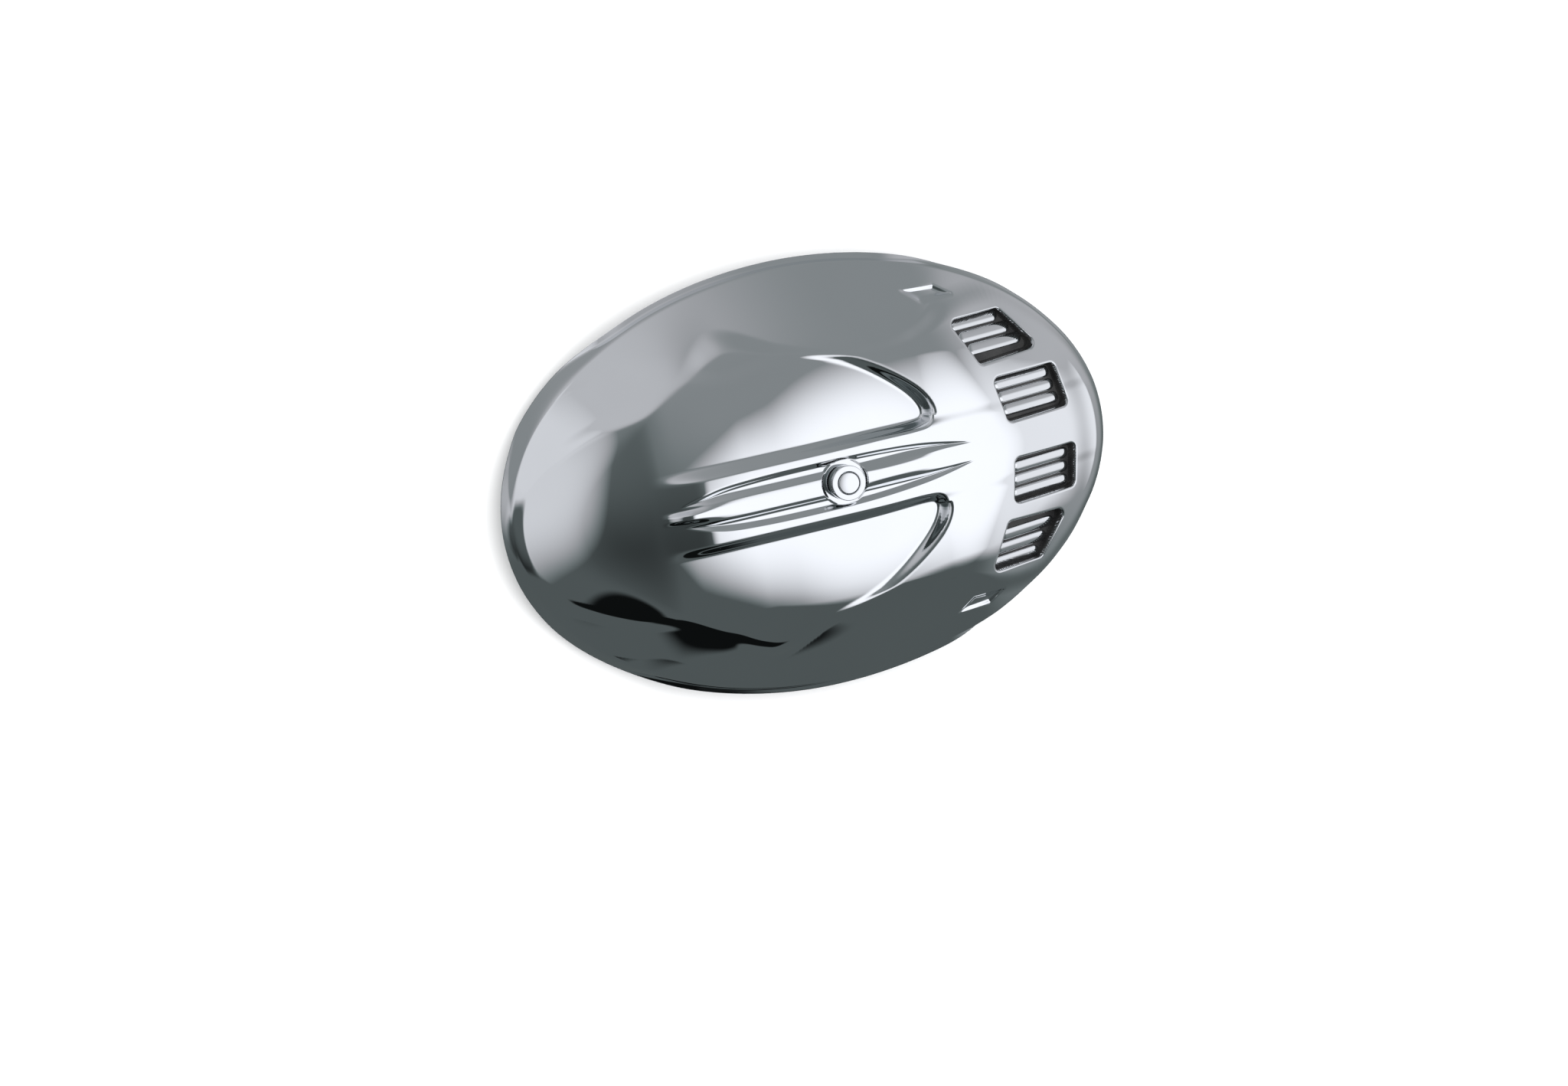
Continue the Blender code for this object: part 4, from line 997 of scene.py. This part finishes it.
def surface(name, dark, light, metallic, smooth, rough, scale, bump=0.0, stretch=(1.0, 1.0, 1.0)):
    """A finish whose colour and roughness drift with noise, over a fine grain that also bumps it."""
    material, tree, shader = new_material(name, dark, metallic, rough)
    coordinates = tree.nodes.new("ShaderNodeTexCoord").outputs["Object"]
    broad = tree.nodes.new("ShaderNodeTexNoise")
    broad.inputs["Scale"].default_value = scale
    broad.inputs["Detail"].default_value = 3.0
    tree.links.new(coordinates, broad.inputs["Vector"])
    mapping = tree.nodes.new("ShaderNodeMapping")
    mapping.inputs["Scale"].default_value = stretch
    tree.links.new(coordinates, mapping.inputs["Vector"])
    grain = tree.nodes.new("ShaderNodeTexNoise")
    grain.inputs["Scale"].default_value = scale * 14.0
    grain.inputs["Detail"].default_value = 4.0
    tree.links.new(mapping.outputs["Vector"], grain.inputs["Vector"])
    colour = tree.nodes.new("ShaderNodeMix")
    colour.data_type = "RGBA"
    colour.inputs["A"].default_value = (*dark, 1.0)
    colour.inputs["B"].default_value = (*light, 1.0)
    tree.links.new(smooth_step(tree, broad.outputs["Fac"], 0.35, 0.65), colour.inputs["Factor"])
    tree.links.new(colour.outputs["Result"], shader.inputs["Base Color"])
    blend = math_node(tree, "MULTIPLY", grain.outputs["Fac"], 0.5)
    blend = math_node(tree, "ADD", blend, math_node(tree, "MULTIPLY", broad.outputs["Fac"], 0.5))
    tree.links.new(smooth_step(tree, blend, 0.35, 0.65, smooth, rough), shader.inputs["Roughness"])
    if bump:
        node = tree.nodes.new("ShaderNodeBump")
        node.inputs["Distance"].default_value = bump
        tree.links.new(grain.outputs["Fac"], node.inputs["Height"])
        tree.links.new(node.outputs["Normal"], shader.inputs["Normal"])
    return material


# --- studio ---------------------------------------------------------------------------------------

def make_camera():
    data = bpy.data.cameras.new("camera")
    data.lens = CAMERA_LENS
    data.clip_end = 20
    camera = bpy.data.objects.new("camera", data)
    camera.location = CAMERA_PLACE
    camera.rotation_euler = [math.radians(a) for a in CAMERA_TURN]
    bpy.context.scene.collection.objects.link(camera)
    bpy.context.scene.camera = camera


def toward(azimuth, polar):
    """Unit direction from an azimuth about +Z and an angle off +Z, in degrees."""
    a = math.radians(azimuth)
    p = math.radians(polar)
    return (math.sin(p) * math.cos(a), math.sin(p) * math.sin(a), math.cos(p))


def softbox(tree, direction, azimuth, polar, outer, inner, strength):
    """A round soft light in the surroundings: full within the inner angle, gone at the outer one."""
    dot = tree.nodes.new("ShaderNodeVectorMath")
    dot.operation = "DOT_PRODUCT"
    tree.links.new(direction, dot.inputs[0])
    dot.inputs[1].default_value = toward(azimuth, polar)
    edge = math.cos(math.radians(outer))
    core = math.cos(math.radians(inner))
    return smooth_step(tree, dot.outputs["Value"], edge, core, 0.0, strength)


def make_floor():
    """A plain pale floor, which the chrome doesn't mirror."""
    material = surface("studio_floor", (0.90, 0.90, 0.90), (0.91, 0.91, 0.91), 0.0, 0.85, 0.92, 3.0)
    corners = [(-FLOOR_REACH, -FLOOR_REACH, 0), (FLOOR_REACH, -FLOOR_REACH, 0), (FLOOR_REACH, FLOOR_REACH, 0),
               (-FLOOR_REACH, FLOOR_REACH, 0)]
    floor = mesh_piece("studio_floor", corners, [(0, 1, 2, 3)], material, 0)
    floor.visible_glossy = False


def shadowed(tree, light, card):
    """The light, less the share that a dark card takes."""
    return math_node(tree, "MULTIPLY", light, math_node(tree, "SUBTRACT", 1.0, card))


def make_world():
    """The studio all round: a soft key to the right, a light to the left, and dark cards for contrast."""
    world = bpy.data.worlds.new("studio")
    world.use_nodes = True
    bpy.context.scene.world = world
    tree = world.node_tree
    background = tree.nodes["Background"]
    direction = tree.nodes.new("ShaderNodeTexCoord").outputs["Generated"]
    axes = tree.nodes.new("ShaderNodeSeparateXYZ")
    tree.links.new(direction, axes.inputs[0])
    x, y = axes.outputs[:2]
    rear = math_node(tree, "MULTIPLY", x, -1.0)

    # The room's own grey, brighter at the top and at both ends
    light = smooth_step(tree, y, -0.35, 0.30, 0.098, 0.262)
    glow = smooth_step(tree, rear, -0.40, 0.35, 0.0, 0.26)
    glow = math_node(tree, "MULTIPLY", smooth_step(tree, y, 0.40, 0.85), glow)
    light = math_node(tree, "ADD", light, glow)
    light = math_node(tree, "ADD", light, smooth_step(tree, x, 0.45, 0.90, 0.0, 0.20))
    black = math_node(tree, "MAXIMUM", *[softbox(tree, direction, *card) for card in BLACK_CARDS])
    light = shadowed(tree, light, black)
    light = shadowed(tree, light, softbox(tree, direction, *DARK_CARD))

    # The light on the left, with a dark card at its foot
    slant = math_node(tree, "ADD", rear, math_node(tree, "MULTIPLY", y, 0.30))
    light = math_node(tree, "MAXIMUM", light, smooth_step(tree, slant, 0.70, 0.98, 0.0, 0.68))
    light = math_node(tree, "MAXIMUM", light, softbox(tree, direction, *LEFT_LIGHT))
    light = shadowed(tree, light, softbox(tree, direction, *EDGE_CARD))

    # The key, which ends towards -Y
    key = math_node(tree, "MAXIMUM", *[softbox(tree, direction, *box) for box in KEY_LIGHTS])
    key = math_node(tree, "MULTIPLY", key, smooth_step(tree, y, -0.74, -0.52))
    light = math_node(tree, "MAXIMUM", light, key)
    colour = tree.nodes.new("ShaderNodeMix")
    colour.data_type = "RGBA"
    tree.links.new(smooth_step(tree, light, 0.07, 0.42), colour.inputs["Factor"])
    colour.inputs["A"].default_value = (0.85, 1.0, 1.01, 1)
    colour.inputs["B"].default_value = (0.99, 1.0, 1.04, 1)
    tree.links.new(colour.outputs["Result"], background.inputs["Color"])
    tree.links.new(light, background.inputs["Strength"])


def make_overhead_light():
    """A broad light over the floor, which the chrome doesn't mirror."""
    data = bpy.data.lights.new("overhead", "AREA")
    data.shape = "DISK"
    data.size = OVERHEAD_SIZE
    data.energy = OVERHEAD_POWER
    light = bpy.data.objects.new("overhead", data)
    light.location = OVERHEAD_PLACE
    direction = -light.location
    light.rotation_euler = direction.to_track_quat("-Z", "Y").to_euler()
    light.visible_glossy = False
    bpy.context.scene.collection.objects.link(light)


make_camera()
make_floor()
make_world()
make_overhead_light()
bpy.context.scene.view_settings.view_transform = "Standard"

chrome = surface(
    "mirror_chrome", (0.85, 0.87, 0.89), (0.87, 0.89, 0.91), 1.0, 0.02, 0.045, 18.0, 0.0, (1.0, 9.0, 1.0))
zinc = surface(
    "bright_zinc", (0.56, 0.56, 0.55), (0.68, 0.68, 0.65), 1.0, 0.22, 0.38, 120.0, 0.00002)
spring = surface(
    "oiled_spring_steel", (0.20, 0.21, 0.23), (0.29, 0.30, 0.32), 1.0, 0.26, 0.42, 150.0, 0.00002)
aluminium = surface(
    "satin_casting", (0.54, 0.55, 0.56), (0.64, 0.65, 0.66), 1.0, 0.38, 0.55, 90.0, 0.00006)
rubber = surface(
    "moulded_rubber", (0.014, 0.014, 0.015), (0.028, 0.028, 0.028), 0.0, 0.60, 0.82, 160.0, 0.00005)
paper = surface(
    "fibre_gasket", (0.16, 0.20, 0.16), (0.25, 0.29, 0.25), 0.0, 0.78, 0.92, 220.0, 0.00006)
gauze = surface(
    "oiled_gauze", (0.44, 0.06, 0.05), (0.62, 0.13, 0.10), 0.0, 0.70, 0.92, 200.0, 0.00012, (1.0, 1.0, 3.0))
wire = surface(
    "woven_wire", (0.48, 0.49, 0.50), (0.60, 0.61, 0.62), 1.0, 0.28, 0.42, 140.0, 0.00003)
brass = surface(
    "turned_brass", (0.64, 0.46, 0.18), (0.74, 0.56, 0.26), 1.0, 0.22, 0.38, 110.0, 0.00002, (1.0, 1.0, 8.0))
# Black powder coat for the filter's cap; the same black is also painted shade in the window pockets and on the
# louvre inserts' ground.
black_paint_and_shade = surface(
    "powder_coat_and_painted_shade", (0.022, 0.022, 0.023), (0.036, 0.036, 0.036), 0.0, 0.34, 0.50, 130.0, 0.00004)

cover = make_cover(chrome)
pierce_cover(cover)
# The pockets' walls and floors get black painted shade, standing in for their dark crevices.
paint_shade_on_faces(cover, black_paint_and_shade, in_pocket)
for index, (corners, side, shift) in enumerate(WINDOWS, start=1):
    make_louvre_insert(index, corners, side, shift, chrome, black_paint_and_shade)
    make_push_nuts(2 * index - 1, corners, side, spring)
make_screw(chrome, rubber, spring)
make_bracket(zinc, brass, rubber)
make_filter(wire, gauze, rubber, black_paint_and_shade, zinc)
make_backing_plate(aluminium)
make_intake(aluminium, zinc, paper)
make_breather("front", BREATHER_X, zinc, rubber)
make_breather("rear", -BREATHER_X, zinc, rubber)
